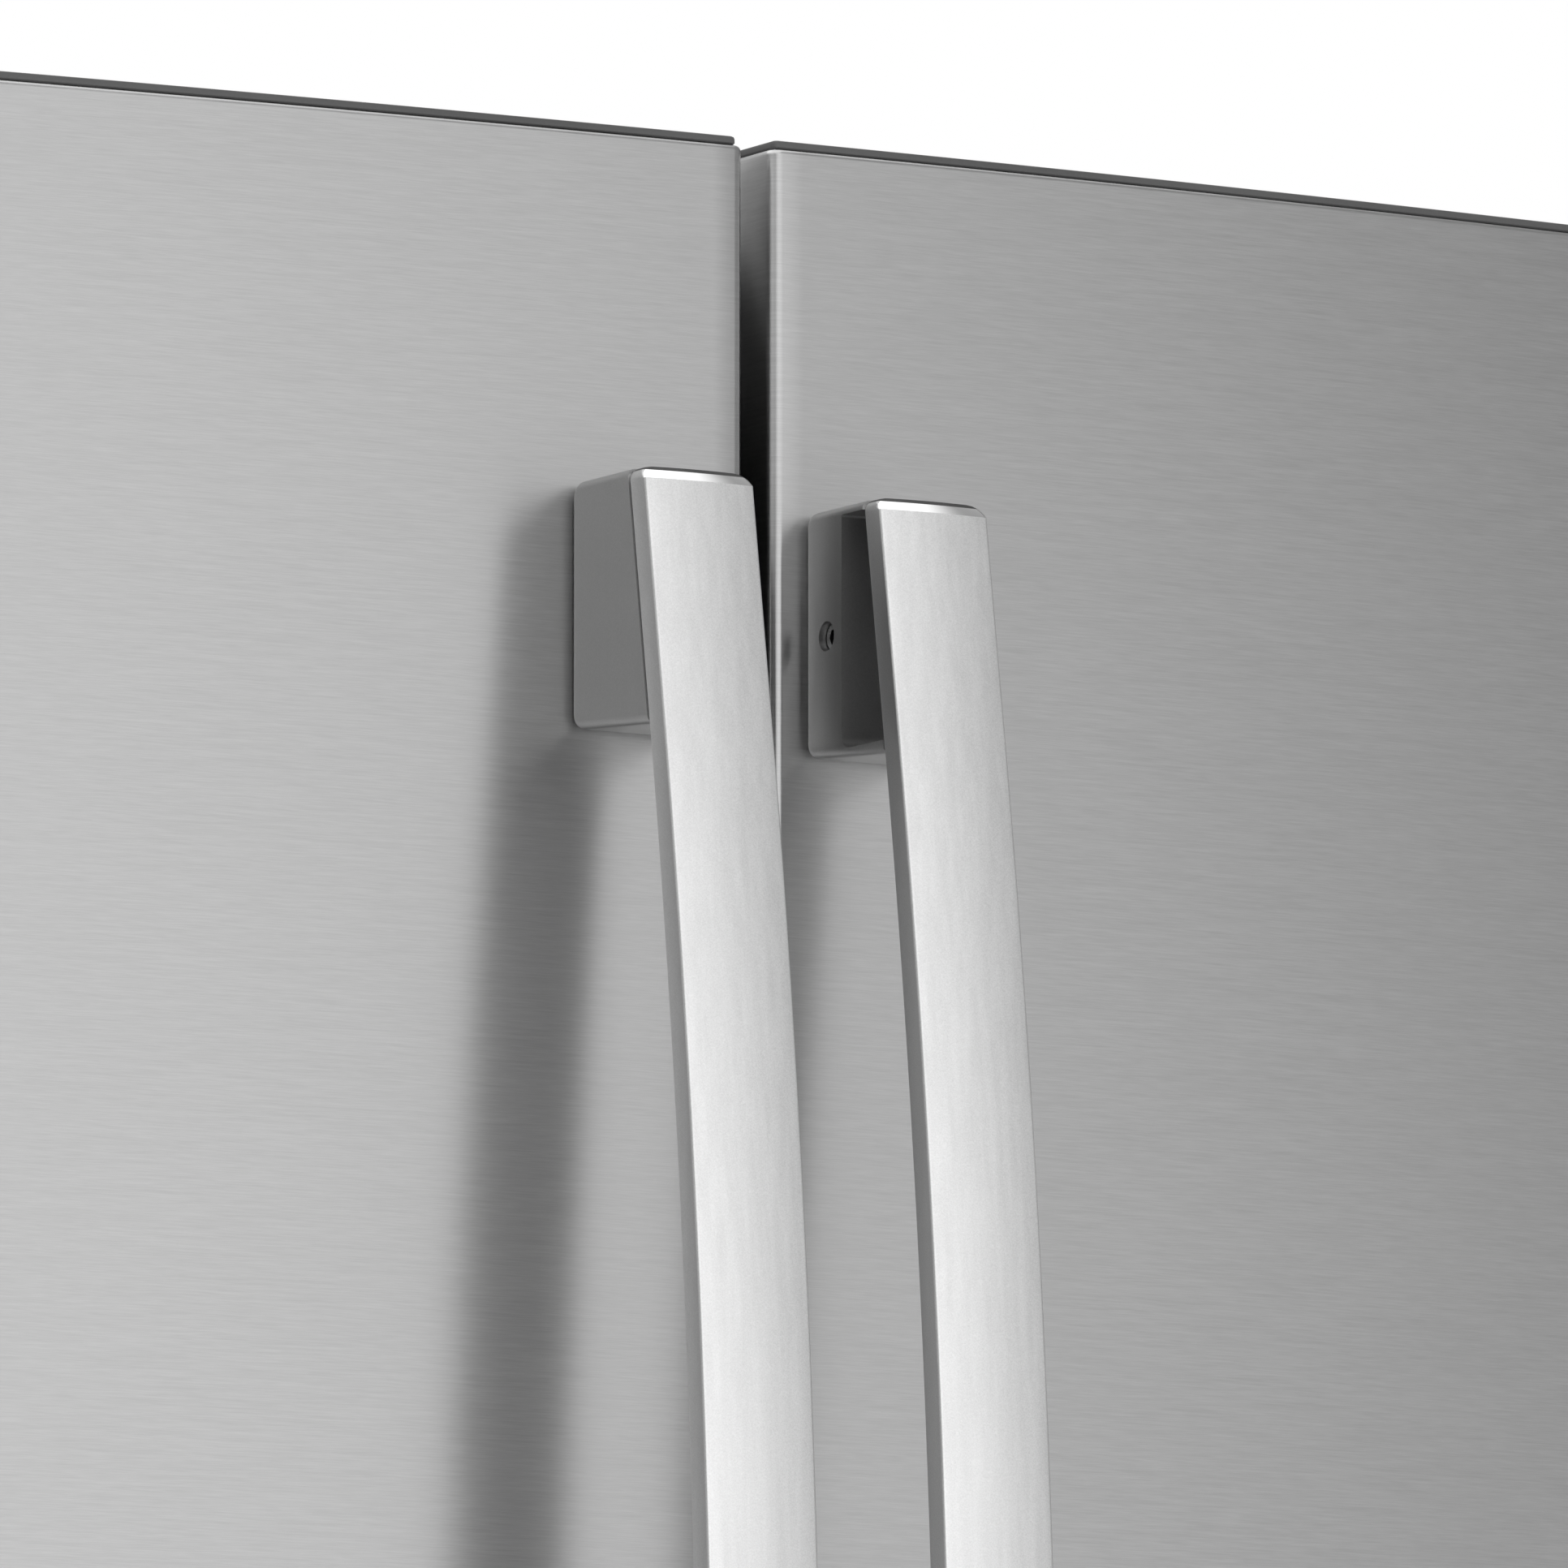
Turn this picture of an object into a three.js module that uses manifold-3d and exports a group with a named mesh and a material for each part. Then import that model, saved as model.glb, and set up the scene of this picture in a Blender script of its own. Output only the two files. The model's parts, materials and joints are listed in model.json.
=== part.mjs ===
// French door refrigerator with a bottom freezer drawer.
// Millimetres, +Z up, +X to the right of someone who faces the doors, +Y towards the wall.
// While the pieces are made, y = 0 is the cabinet's front face. The finished group is moved along Y so
// that its origin lies on the floor under the middle of the whole object.

import * as THREE from 'three';
import { mergeVertices } from 'three/addons/utils/BufferGeometryUtils.js';
import Module from 'manifold-3d';

const wasm = await Module();
wasm.setup();

// ---- Driving dimensions ---------------------------------------------------------------------------

const fit = 0.3; // left between two pieces that touch
const steelSheet = 1.2;
const linerWall = 2.5;

const cabinet = { halfWidth: 452, bottom: 60, top: 1748, depth: 690, flange: 48 };
const cavity = { halfWidth: 404, depth: 640, freshBottom: 775, freshTop: 1700 };
const freezer = { bottom: 120, top: 695, stepDepth: 430, stepHeight: 340 };
const machineRoom = { front: 475, top: 300 };

const doorGap = 8;
const front = { back: -12, face: -82, contourRadius: 3200, edgeRadius: 2, halfWidth: 454 };
const freshDoor = { bottom: 735, top: 1757.5 };
const trimThickness = 2.2;
const drawerFront = { bottom: 80, top: 725 };
const gasket = { width: 16, outer: 430, inner: 8, bottom: 750, top: 1724 };
const drawerGasket = { bottom: 98, top: 716 };
const dyke = { inner: 52, outer: 400, bottom: 790, top: 1690, wall: 10, reach: 28 };

const hingeAxis = { x: 432, y: -37, pinRadius: 5, holeRadius: 5.3, armNose: 9 };
const topHinge = { plate: 4, arm: 1762, pinBottom: 1744 };
const midHinge = { bottom: 728, plate: 4, pinTop: 750, flangeBottom: 702 };
const hingeCover = { top: 1778, wall: 2.5, front: -50, back: 112, inner: 398, outer: 452 };

const handle = { length: 776, width: 32, thickness: 9, standoff: 38.6 };
const handlePlaces = { left: { x: -39.5, top: 1666 }, right: { x: 29.5, top: 1663 } };
const handleEnd = { length: 63, post: 66.5, slope: 0.159, block: 19, wall: 6, endWall: 2.5, tipWall: 3.5 };
const setScrew = { radius: 3.9, depth: 9, fromEnd: 33, fromDoor: 11.4 };
const drawerHandleHeight = 655;

const mullion = { pivotX: -32, pivotY: 8, left: -40.5, right: -24.5, front: 3, back: 66, pinRadius: 3 };
const binBox = { wall: 2.5, back: -11.5, front: 88, height: 110 };
const dairy = { bottom: 1440, height: 120, pivotY: -5, pivotZ: 1567, lidFront: 92, lidDrop: 97 };
const crisper = { front: 170, back: 615, bottom: 780.3, top: 955, wall: 3 };
const shelfGlass = { inner: 4, outer: 396, front: 112, back: 612, thickness: 5 };
const slide = { front: 20, back: 580, bottom: 365, top: 395 };
const basket = { halfWidth: 365, front: 12, back: 415, bottom: 135, top: 520, wall: 3 };

// ---- Solids ---------------------------------------------------------------------------------------

function solidFrom(geometry) {
  const bare = new THREE.BufferGeometry();
  bare.setAttribute('position', geometry.getAttribute('position'));
  bare.setIndex(geometry.getIndex());
  const merged = mergeVertices(bare);
  const corners = merged.getIndex().array;
  const triangles = [];
  for (let i = 0; i < corners.length; i += 3) {
    const [a, b, c] = corners.subarray(i, i + 3);
    if (a !== b && b !== c && c !== a) {
      triangles.push(a, b, c);
    }
  }
  return new wasm.Manifold(new wasm.Mesh({
    numProp: 3,
    vertProperties: new Float32Array(merged.getAttribute('position').array),
    triVerts: new Uint32Array(triangles),
  }));
}

function join(first, ...others) {
  return others.reduce((whole, other) => whole.add(other), first);
}

function cut(solid, ...tools) {
  return tools.reduce((rest, tool) => rest.subtract(tool), solid);
}

function block([x0, x1], [y0, y1], [z0, z1]) {
  const geometry = new THREE.BoxGeometry(Math.abs(x1 - x0), Math.abs(y1 - y0), Math.abs(z1 - z0));
  geometry.translate((x0 + x1) / 2, (y0 + y1) / 2, (z0 + z1) / 2);
  return solidFrom(geometry);
}

// Outline points are (y, z) for axis x, (x, z) for axis y and (x, y) for axis z.
const right = new THREE.Vector3(1, 0, 0);
const backward = new THREE.Vector3(0, 1, 0);
const forward = new THREE.Vector3(0, -1, 0);
const up = new THREE.Vector3(0, 0, 1);
const outlinePlanes = { x: [backward, up, right], y: [right, up, forward], z: [right, backward, up] };

function extrude(outline, axis, [from, to]) {
  const shape = new THREE.Shape(outline.map(([u, v]) => new THREE.Vector2(u, v)));
  const geometry = new THREE.ExtrudeGeometry(shape, { depth: to - from, bevelEnabled: false });
  geometry.translate(0, 0, axis === 'y' ? -to : from);
  geometry.applyMatrix4(new THREE.Matrix4().makeBasis(...outlinePlanes[axis]));
  return solidFrom(geometry);
}

function rod(axis, [u, v], radius, span, sides = 24) {
  const outline = Array.from({ length: sides }, (_, i) => {
    const turn = (i / sides) * 2 * Math.PI;
    return [u + radius * Math.cos(turn), v + radius * Math.sin(turn)];
  });
  return extrude(outline, axis, span);
}

function addPiece(group, name, solid, finish) {
  const { vertProperties, triVerts } = solid.getMesh();
  const geometry = new THREE.BufferGeometry();
  geometry.setAttribute('position', new THREE.BufferAttribute(vertProperties, 3));
  geometry.setIndex(new THREE.BufferAttribute(triVerts, 1));
  geometry.computeVertexNormals();
  const mesh = new THREE.Mesh(geometry, new THREE.MeshStandardMaterial(finish));
  mesh.name = name;
  group.add(mesh);
  return mesh;
}

// ---- Finishes -------------------------------------------------------------------------------------

const stainless = { color: 0xb9babc, roughness: 0.32, metalness: 1 };
const satinAluminium = { color: 0xd2d3d4, roughness: 0.38, metalness: 1 };
const paintedSteel = { color: 0x8b8d90, roughness: 0.5, metalness: 0.4 };
const galvanised = { color: 0xa9adb0, roughness: 0.45, metalness: 0.9 };
const darkPlastic = { color: 0x4a4b4d, roughness: 0.55, metalness: 0 };
const blackPlastic = { color: 0x1c1c1e, roughness: 0.5, metalness: 0 };
const whitePlastic = { color: 0xf0f1f2, roughness: 0.45, metalness: 0 };
const clearPlastic = { color: 0xdfe8ea, roughness: 0.1, metalness: 0 };
const greyRubber = { color: 0x9a9b9c, roughness: 0.8, metalness: 0 };
const foam = { color: 0xe8d9a8, roughness: 0.95, metalness: 0 };
const blackPaint = { color: 0x18191a, roughness: 0.4, metalness: 0.2 };

// ---- Cabinet --------------------------------------------------------------------------------------

const centreRail = {
  bottom: freezer.top + linerWall + fit,
  top: cavity.freshBottom - linerWall - fit,
  depth: 40,
};

function makeWrapper() {
  const { halfWidth, bottom, top, depth, flange } = cabinet;
  const inside = halfWidth - steelSheet;
  const mouth = halfWidth - flange;
  const shell = block([-halfWidth, halfWidth], [0, depth], [bottom, top]);
  const room = block([-inside, inside], [steelSheet, depth + 1], [bottom - 1, top - steelSheet]);
  const opening = block([-mouth, mouth], [-1, steelSheet + 1], [bottom - 1, top - flange]);
  return cut(shell, room, opening);
}

function linerBox(bottom, top, grow) {
  const half = cavity.halfWidth + grow;
  const profile = [[0, bottom - grow], [cavity.depth + grow, bottom - grow],
    [cavity.depth + grow, top + grow], [0, top + grow]];
  return extrude(profile, 'x', [-half, half]);
}

function freezerBox(grow) {
  const half = cavity.halfWidth + grow;
  const step = freezer.stepDepth + grow;
  const back = cavity.depth + grow;
  const shelf = freezer.stepHeight - grow;
  const profile = [[0, freezer.bottom - grow], [step, freezer.bottom - grow], [step, shelf],
    [back, shelf], [back, freezer.top + grow], [0, freezer.top + grow]];
  return extrude(profile, 'x', [-half, half]);
}

function withoutFrontLip(solid) {
  const wide = cabinet.halfWidth;
  return cut(solid, block([-wide, wide], [-1, steelSheet + fit], [0, cabinet.top]));
}

function makeFreshFoodLiner() {
  const { freshBottom, freshTop } = cavity;
  const shell = cut(linerBox(freshBottom, freshTop, linerWall), linerBox(freshBottom, freshTop, 0));
  const runners = [-330, -70, 70, 330].map((x) => block(
    [x - 6, x + 6], [crisper.front - 20, cavity.depth + 1], [freshBottom - 1, crisper.bottom - fit]));
  return withoutFrontLip(join(shell, ...runners));
}

function makeFreezerLiner() {
  return withoutFrontLip(cut(freezerBox(linerWall), freezerBox(0)));
}

function makeInsulation() {
  const inset = steelSheet + fit;
  const half = cabinet.halfWidth - inset;
  const low = cabinet.bottom + 2 + fit;
  const high = cabinet.top - inset;
  const back = cabinet.depth - inset;
  const profile = [[inset, low], [machineRoom.front, low], [machineRoom.front, machineRoom.top],
    [back, machineRoom.top], [back, high], [inset, high]];
  const railRoom = block([-half - 1, half + 1], [0, centreRail.depth + fit], [centreRail.bottom - fit,
    centreRail.top + fit]);
  return cut(
    extrude(profile, 'x', [-half, half]),
    linerBox(cavity.freshBottom, cavity.freshTop, linerWall + fit),
    freezerBox(linerWall + fit),
    railRoom,
  );
}

function makeCentreRail() {
  const half = cavity.halfWidth - fit;
  const wall = 1.5;
  const { bottom, top, depth } = centreRail;
  return cut(
    block([-half, half], [0, depth], [bottom, top]),
    block([-half + wall, half - wall], [wall, depth + 1], [bottom + wall, top - wall]),
  );
}

function makeBackPanel() {
  const half = cabinet.halfWidth - steelSheet - fit;
  const sheet = block([-half, half], [cabinet.depth - steelSheet, cabinet.depth],
    [cabinet.bottom + 2 + fit, cabinet.top - steelSheet - fit]);
  const slots = [];
  for (const z of [120, 175, 230]) {
    for (let x = -350; x <= 350; x += 140) {
      slots.push(block([x - 50, x + 50], [cabinet.depth - 5, cabinet.depth + 5], [z - 4, z + 4]));
    }
  }
  return cut(sheet, ...slots);
}

const roller = { x: 390, y: 640, radius: 25, width: 20, axleRadius: 4 };

function makeBasePan() {
  const half = cabinet.halfWidth - steelSheet - fit;
  const mouth = cavity.halfWidth - fit;
  const floor = block([-half, half], [steelSheet + fit, cabinet.depth], [cabinet.bottom, cabinet.bottom + 2]);
  const upstand = block([-mouth, mouth], [0, steelSheet], [cabinet.bottom, freezer.bottom - linerWall - fit]);
  const tongue = block([-mouth, mouth], [0, 5], [cabinet.bottom, cabinet.bottom + 2]);
  const ears = [-1, 1].map((side) => cut(
    block([side * 404, side * 407], [roller.y - 18, roller.y + 18], [roller.radius - 10, cabinet.bottom + 1]),
    rod('x', [roller.y, roller.radius], roller.axleRadius + fit, [-420, 420]),
  ));
  return join(floor, tongue, upstand, ...ears);
}

function makeBaseGrille() {
  const half = 440;
  const [bottom, top] = [15, 72];
  const face = block([-half, half], [-30, -27], [bottom, top]);
  const returns = [-1, 1].map((side) => block([side * half, side * (half - 3)], [-28, -2], [bottom, top]));
  const clips = [-1, 1].map((side) => block([side * 280, side * 320], [-28, -fit], [62, 66]));
  const slots = [];
  for (let x = -378; x <= 378; x += 84) {
    slots.push(block([x - 36, x + 36], [-31, -26], [26, 31]));
    slots.push(block([x - 36, x + 36], [-31, -26], [40, 45]));
  }
  return cut(join(face, ...returns, ...clips), ...slots);
}

function makeLevelingLeg() {
  const foot = rod('z', [0, 0], 22, [0, 12]);
  const stem = rod('z', [0, 0], 7, [11, cabinet.bottom - fit], 16);
  const nut = rod('z', [0, 0], 13, [38, 48], 6);
  return join(foot, stem, nut);
}

function makeRearRollers() {
  const axle = rod('x', [0, 0], roller.axleRadius, [-412, 412], 16);
  const wheels = [-1, 1].map((side) => rod('x', [0, 0], roller.radius,
    [side * roller.x - roller.width / 2, side * roller.x + roller.width / 2], 32));
  return join(axle, ...wheels);
}

// ---- Machine compartment --------------------------------------------------------------------------

function makeCompressor() {
  const radius = 78;
  const height = 180;
  const steps = 6;
  const profile = [new THREE.Vector2(0, 0)];
  for (let i = 0; i <= steps; i += 1) {
    const turn = (i / steps) * (Math.PI / 2);
    profile.push(new THREE.Vector2(radius * (0.72 + 0.28 * Math.sin(turn)), 45 * (1 - Math.cos(turn))));
  }
  for (let i = 0; i <= steps; i += 1) {
    const turn = (i / steps) * (Math.PI / 2);
    profile.push(new THREE.Vector2(radius * Math.cos(turn), height - 60 + 60 * Math.sin(turn)));
  }
  const shell = new THREE.LatheGeometry(profile, 24);
  shell.rotateX(Math.PI / 2);
  const stand = block([-85, 85], [-70, 70], [-8, 5]);
  const suction = rod('z', [-50, 0], 5, [100, 215], 12);
  return join(solidFrom(shell), stand, suction);
}

function makeCondenserCoil() {
  const halfLength = 160;
  const pitch = 30;
  const runs = 7;
  const radius = 5;
  const tubes = [];
  for (let i = 0; i < runs; i += 1) {
    const z = i * pitch;
    tubes.push(rod('x', [0, z], radius, [-halfLength, halfLength], 8));
    if (i + 1 < runs) {
      const end = (i % 2 === 0 ? 1 : -1) * (halfLength - 2);
      tubes.push(block([end - radius, end + radius], [-4, 4], [z, z + pitch]));
    }
  }
  const plates = [-110, 0, 110].map((x) => block([x - 1, x + 1], [-60, 60], [-12, runs * pitch - 18]));
  return join(...tubes, ...plates);
}

const fan = { x: -125, y: 580, z: 180, bladeRadius: 70, hubRadius: 20, shaftRadius: 3 };

function makeFanShroud() {
  const plate = block([0, 3], [-95, 95], [fan.z * -1 + 68, 105]);
  const mouth = rod('x', [0, 0], fan.bladeRadius + 6, [-1, 4], 32);
  const bar = block([0, 8], [-90, 90], [-7, 7]);
  const motor = rod('x', [0, 0], 24, [0, 34], 24);
  const shaftHole = rod('x', [0, 0], fan.shaftRadius + fit, [-1, 20], 16);
  return cut(join(cut(plate, mouth), bar, motor), shaftHole);
}

function makeCondenserFan() {
  const hub = rod('x', [0, 0], fan.hubRadius, [-30, -4], 20);
  const shaft = rod('x', [0, 0], fan.shaftRadius, [-5, 15], 16);
  const blades = [];
  for (let i = 0; i < 5; i += 1) {
    const blade = new THREE.BoxGeometry(2, 30, fan.bladeRadius - fan.hubRadius + 8);
    blade.translate(0, 0, (fan.bladeRadius + fan.hubRadius) / 2 - 5);
    blade.rotateZ(0.6);
    blade.translate(-17, 0, 0);
    blade.rotateX((i / 5) * 2 * Math.PI);
    blades.push(solidFrom(blade));
  }
  return join(hub, shaft, ...blades);
}

// ---- Inside the fresh food compartment ------------------------------------------------------------

function makeAirDuct() {
  const wall = 2.5;
  const [bottom, top] = [1000, 1660];
  const back = cavity.depth - fit;
  const shell = cut(
    block([-90, 90], [back - 20, back], [bottom, top]),
    block([wall - 90, 90 - wall], [back - 20 + wall, back + 1], [bottom + wall, top - wall]),
  );
  const vents = [1080, 1200, 1480, 1600].map((z) => block([-60, 60], [back - 25, back - 15], [z - 5, z + 5]));
  return cut(shell, ...vents);
}

function makeShelf(side) {
  const { inner, outer, front: shelfFront, back, thickness } = shelfGlass;
  const glass = block([side * inner, side * outer], [shelfFront, back], [-thickness, 0]);
  const lip = block([side * inner, side * outer], [shelfFront, shelfFront + 6], [-14, 3]);
  const armProfile = [[shelfFront + 5, -thickness + 1], [shelfFront + 5, -12], [back, -42], [back, -thickness + 1]];
  const arms = [inner + 8, outer - 14].map((x) => extrude(armProfile, 'x',
    [Math.min(side * x, side * (x + 4)), Math.max(side * x, side * (x + 4))]));
  return join(glass, lip, ...arms);
}

function makeCrisperCover() {
  const glass = block([-cavity.halfWidth + fit, cavity.halfWidth - fit], [crisper.front - 4, crisper.back + 3],
    [966, 971]);
  const lip = block([-cavity.halfWidth + fit, cavity.halfWidth - fit], [crisper.front - 4, crisper.front + 4],
    [958, 971]);
  const divider = block([-3, 3], [crisper.front + 3, crisper.back + 3], [cavity.freshBottom + fit, 967]);
  return join(glass, lip, divider);
}

function makeCrisper(side) {
  const { front: faceY, back, bottom, top, wall } = crisper;
  const [inner, outer] = [6, 394];
  const body = block([side * inner, side * outer], [faceY, back], [bottom, top]);
  const room = block([side * (inner + wall), side * (outer - wall)], [faceY + wall, back - wall],
    [bottom + wall, top + 1]);
  const grip = block([side * (inner + 60), side * (outer - 60)], [faceY - 12, faceY + 1], [top - 10, top - 7]);
  return join(cut(body, room), grip);
}

// ---- Door parts -----------------------------------------------------------------------------------

function faceAt(x) {
  return front.face + (x * x) / (2 * front.contourRadius);
}

// Cross-section of a door seen from above, pulled in by inset, with rounded front corners.
function doorOutline(from, to, inset, back) {
  const cornerSteps = 3;
  const contourSteps = Math.round((to - from) / 38);
  const [left, rightEnd] = [from + inset, to - inset];
  const radius = Math.max(front.edgeRadius - inset, 0.2);
  const points = [[rightEnd, back]];
  const corner = (centreX, startTurn) => {
    const centreY = faceAt(centreX) + inset + radius;
    for (let i = 0; i <= cornerSteps; i += 1) {
      const turn = startTurn - (i / cornerSteps) * (Math.PI / 2);
      points.push([centreX + radius * Math.cos(turn), centreY + radius * Math.sin(turn)]);
    }
  };
  corner(rightEnd - radius, 0);
  for (let i = contourSteps - 1; i > 0; i -= 1) {
    const x = left + (rightEnd - left) * (i / contourSteps);
    points.push([x, faceAt(x) + inset]);
  }
  corner(left + radius, -Math.PI / 2);
  points.push([left, back]);
  return points;
}

function makeDoorSkin(from, to, [bottom, top]) {
  return cut(
    extrude(doorOutline(from, to, 0, front.back), 'z', [bottom, top]),
    extrude(doorOutline(from, to, steelSheet, front.back + 1), 'z', [bottom - 1, top + 1]),
  );
}

function makeDoorCore(from, to, [bottom, top]) {
  return extrude(doorOutline(from, to, steelSheet + fit, front.back), 'z', [bottom, top]);
}

function sideSpan(side, from, to) {
  return [Math.min(side * from, side * to), Math.max(side * from, side * to)];
}

function makeDykeRing([left, rightEnd], [bottom, top], reach) {
  const depth = [front.back - 2, reach];
  const { wall } = dyke;
  return cut(
    block([left, rightEnd], depth, [bottom, top]),
    block([left + wall, rightEnd - wall], [front.back, reach + 1], [bottom + wall, top - wall]),
  );
}

function hingeHoles(side, [bottom, top]) {
  const centre = [side * hingeAxis.x, hingeAxis.y];
  return [
    rod('z', centre, hingeAxis.holeRadius, [bottom - 1, bottom + 18]),
    rod('z', centre, hingeAxis.holeRadius, [top - 17, top + 4]),
  ];
}

function mullionLugs() {
  const { pivotX, pivotY, pinRadius } = mullion;
  const lugs = [[784, 790], [1690, 1696]].map((span) => block([-44, -25], [front.back - 2, 16], span));
  return cut(join(...lugs), rod('z', [pivotX, pivotY], pinRadius + fit, [780, 1700], 16));
}

function makeFreshDoorCore(side) {
  const [from, to] = sideSpan(side, doorGap / 2, front.halfWidth);
  const heights = [freshDoor.bottom, freshDoor.top];
  const ring = makeDykeRing(sideSpan(side, dyke.inner, dyke.outer), [dyke.bottom, dyke.top], dyke.reach);
  const pieces = [makeDoorCore(from, to, heights), ring];
  const holes = hingeHoles(side, heights);
  if (side < 0) {
    pieces.push(mullionLugs());
    holes.push(rod('x', [dairy.pivotY, dairy.pivotZ], 3, [-dyke.outer + 2, -dyke.inner - 2], 16));
  }
  return cut(join(...pieces), ...holes);
}

function makeDoorTrim(side) {
  const [from, to] = sideSpan(side, doorGap / 2, front.halfWidth);
  const bottom = freshDoor.top + fit;
  const flange = extrude(doorOutline(from, to, 0, front.back), 'z', [bottom, freshDoor.top + trimThickness + fit]);
  return cut(flange, ...hingeHoles(side, [freshDoor.bottom, freshDoor.top]));
}

function makeGasket([left, rightEnd], [bottom, top]) {
  const depth = [front.back + fit, -fit];
  const { width } = gasket;
  return cut(
    block([left, rightEnd], depth, [bottom, top]),
    block([left + width, rightEnd - width], [depth[0] - 1, depth[1] + 1], [bottom + width, top - width]),
  );
}

function makeDoorBin(side) {
  const { wall, back, front: reach, height } = binBox;
  const [left, rightEnd] = sideSpan(side, dyke.inner + dyke.wall + fit, dyke.outer - dyke.wall - fit);
  return cut(
    block([left, rightEnd], [back, reach], [0, height]),
    block([left + wall, rightEnd - wall], [back + wall, reach - wall], [wall, height + 1]),
  );
}

function makeDairyLid() {
  const { pivotY, pivotZ, lidFront, lidDrop } = dairy;
  const [left, rightEnd] = sideSpan(-1, dyke.inner + dyke.wall + 2, dyke.outer - dyke.wall - 2);
  const barrel = rod('x', [pivotY, pivotZ], 4, [left, rightEnd], 16);
  const pins = rod('x', [pivotY, pivotZ], 2.5, [left - 8, rightEnd + 8], 16);
  const roof = block([left, rightEnd], [pivotY, lidFront], [pivotZ - 1.25, pivotZ + 1.25]);
  const flap = block([left, rightEnd], [lidFront - 2.5, lidFront], [pivotZ - lidDrop, pivotZ + 1.25]);
  return join(barrel, pins, roof, flap);
}

function makeMullion() {
  const { pivotX, pivotY, left, right: rightSide, front: near, back, pinRadius } = mullion;
  const body = block([left, rightSide], [near, back], [790.5, 1689.5]);
  const pins = [[784, 791], [1689, 1696]].map((span) => rod('z', [pivotX, pivotY], pinRadius, span, 16));
  return join(body, ...pins);
}

// ---- Hinges ---------------------------------------------------------------------------------------

function makeTopHinge(side) {
  const { plate, arm, pinBottom } = topHinge;
  const base = cabinet.top + fit;
  const across = [side * 405, side * 449];
  const foot = block(across, [8, 100], [base, base + plate]);
  const riser = block(across, [8, 12], [base, arm + plate]);
  const reach = block(across, [hingeAxis.y - hingeAxis.armNose, 12], [arm, arm + plate]);
  const pin = rod('z', [side * hingeAxis.x, hingeAxis.y], hingeAxis.pinRadius, [pinBottom, arm + 1]);
  return join(foot, riser, reach, pin);
}

function makeMidHinge(side) {
  const { bottom, plate, pinTop, flangeBottom } = midHinge;
  const flange = block([side * 433, side * 449], [-3.3, -fit], [flangeBottom, bottom + 1]);
  const shelf = block([side * 416, side * 449], [hingeAxis.y - hingeAxis.armNose, -fit], [bottom, bottom + plate]);
  const pin = rod('z', [side * hingeAxis.x, hingeAxis.y], hingeAxis.pinRadius, [bottom + 1, pinTop]);
  return join(flange, shelf, pin);
}

function makeHingeCover(side) {
  const { top, wall, front: nose, back, inner, outer } = hingeCover;
  const low = cabinet.top + fit;
  const overDoor = freshDoor.top + trimThickness + fit + 1.5;
  const profile = (inset) => [[back - inset, low - inset], [back - inset, top - inset], [nose + inset + 8, top - inset],
    [nose + inset, top - inset - 6], [nose + inset, overDoor - inset], [3 + inset, overDoor - inset],
    [3 + inset, low - inset]];
  const shell = extrude(profile(0), 'x', sideSpan(side, inner, outer));
  const room = extrude(profile(wall), 'x', sideSpan(side, inner + wall, outer - wall));
  return cut(shell, room);
}

// ---- Handles --------------------------------------------------------------------------------------
// A handle is made upright at its own origin: z = 0 is its middle and y = 0 the tangent of the door face.

function standoffAt(fromEnd) {
  const { slope, length } = handleEnd;
  if (fromEnd <= length) {
    return handle.standoff + slope * fromEnd;
  }
  const halfChord = handle.length / 2 - length;
  const arcRadius = halfChord / Math.sin(Math.atan(slope));
  const fromMiddle = handle.length / 2 - fromEnd;
  const rise = Math.sqrt(arcRadius ** 2 - fromMiddle ** 2) - Math.sqrt(arcRadius ** 2 - halfChord ** 2);
  return handle.standoff + slope * length + rise;
}

const handleReach = standoffAt(handle.length / 2);

function makeHandleBar() {
  const half = handle.length / 2;
  const stations = [half, half - handleEnd.length];
  const arcSteps = 20;
  for (let i = 1; i <= arcSteps; i += 1) {
    stations.push((half - handleEnd.length) * (1 - (2 * i) / arcSteps));
  }
  stations.push(-half);
  const outer = stations.map((z) => [-standoffAt(half - Math.abs(z)), z]);
  const inner = stations.map((z) => [handle.thickness - standoffAt(half - Math.abs(z)), z]).reverse();
  return extrude([...outer, ...inner], 'x', [-handle.width / 2, handle.width / 2]);
}

// The post closes the handle's upper end. openSide is the side its pocket and set screw hole face.
function makeHandlePost(openSide, footDepth) {
  const half = handle.length / 2;
  const { post: length, block: blockDepth, wall, endWall, tipWall } = handleEnd;
  const low = half - length;
  const backOfBar = (fromEnd) => handle.thickness + fit - standoffAt(fromEnd);
  const profile = [[footDepth, half], [backOfBar(0), half], [backOfBar(length), low], [-blockDepth, low + 1.5],
    [footDepth, low + 3]];
  const body = extrude(profile, 'x', [-handle.width / 2, handle.width / 2]);
  const pocketProfile = [[-blockDepth, half - endWall], [-blockDepth - 20, half - endWall],
    [-blockDepth - 20, low + tipWall], [-blockDepth - 2, low + tipWall], [-blockDepth, low + tipWall + 2]];
  const pocket = extrude(pocketProfile, 'x', sideSpan(openSide, wall - handle.width / 2, handle.width / 2 + 1));
  const hole = rod('x', [-setScrew.fromDoor, half - setScrew.fromEnd], setScrew.radius,
    sideSpan(openSide, handle.width / 2 - setScrew.depth, handle.width / 2 + 1), 16);
  return cut(body, pocket, hole);
}

function makeHandle(names, openSide) {
  const group = new THREE.Group();
  addPiece(group, names.bar, makeHandleBar(), satinAluminium);
  addPiece(group, names.start, makeHandlePost(openSide, -fit), satinAluminium);
  const end = addPiece(group, names.end, makeHandlePost(-openSide, -fit), satinAluminium);
  end.rotation.y = Math.PI;
  return group;
}

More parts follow.
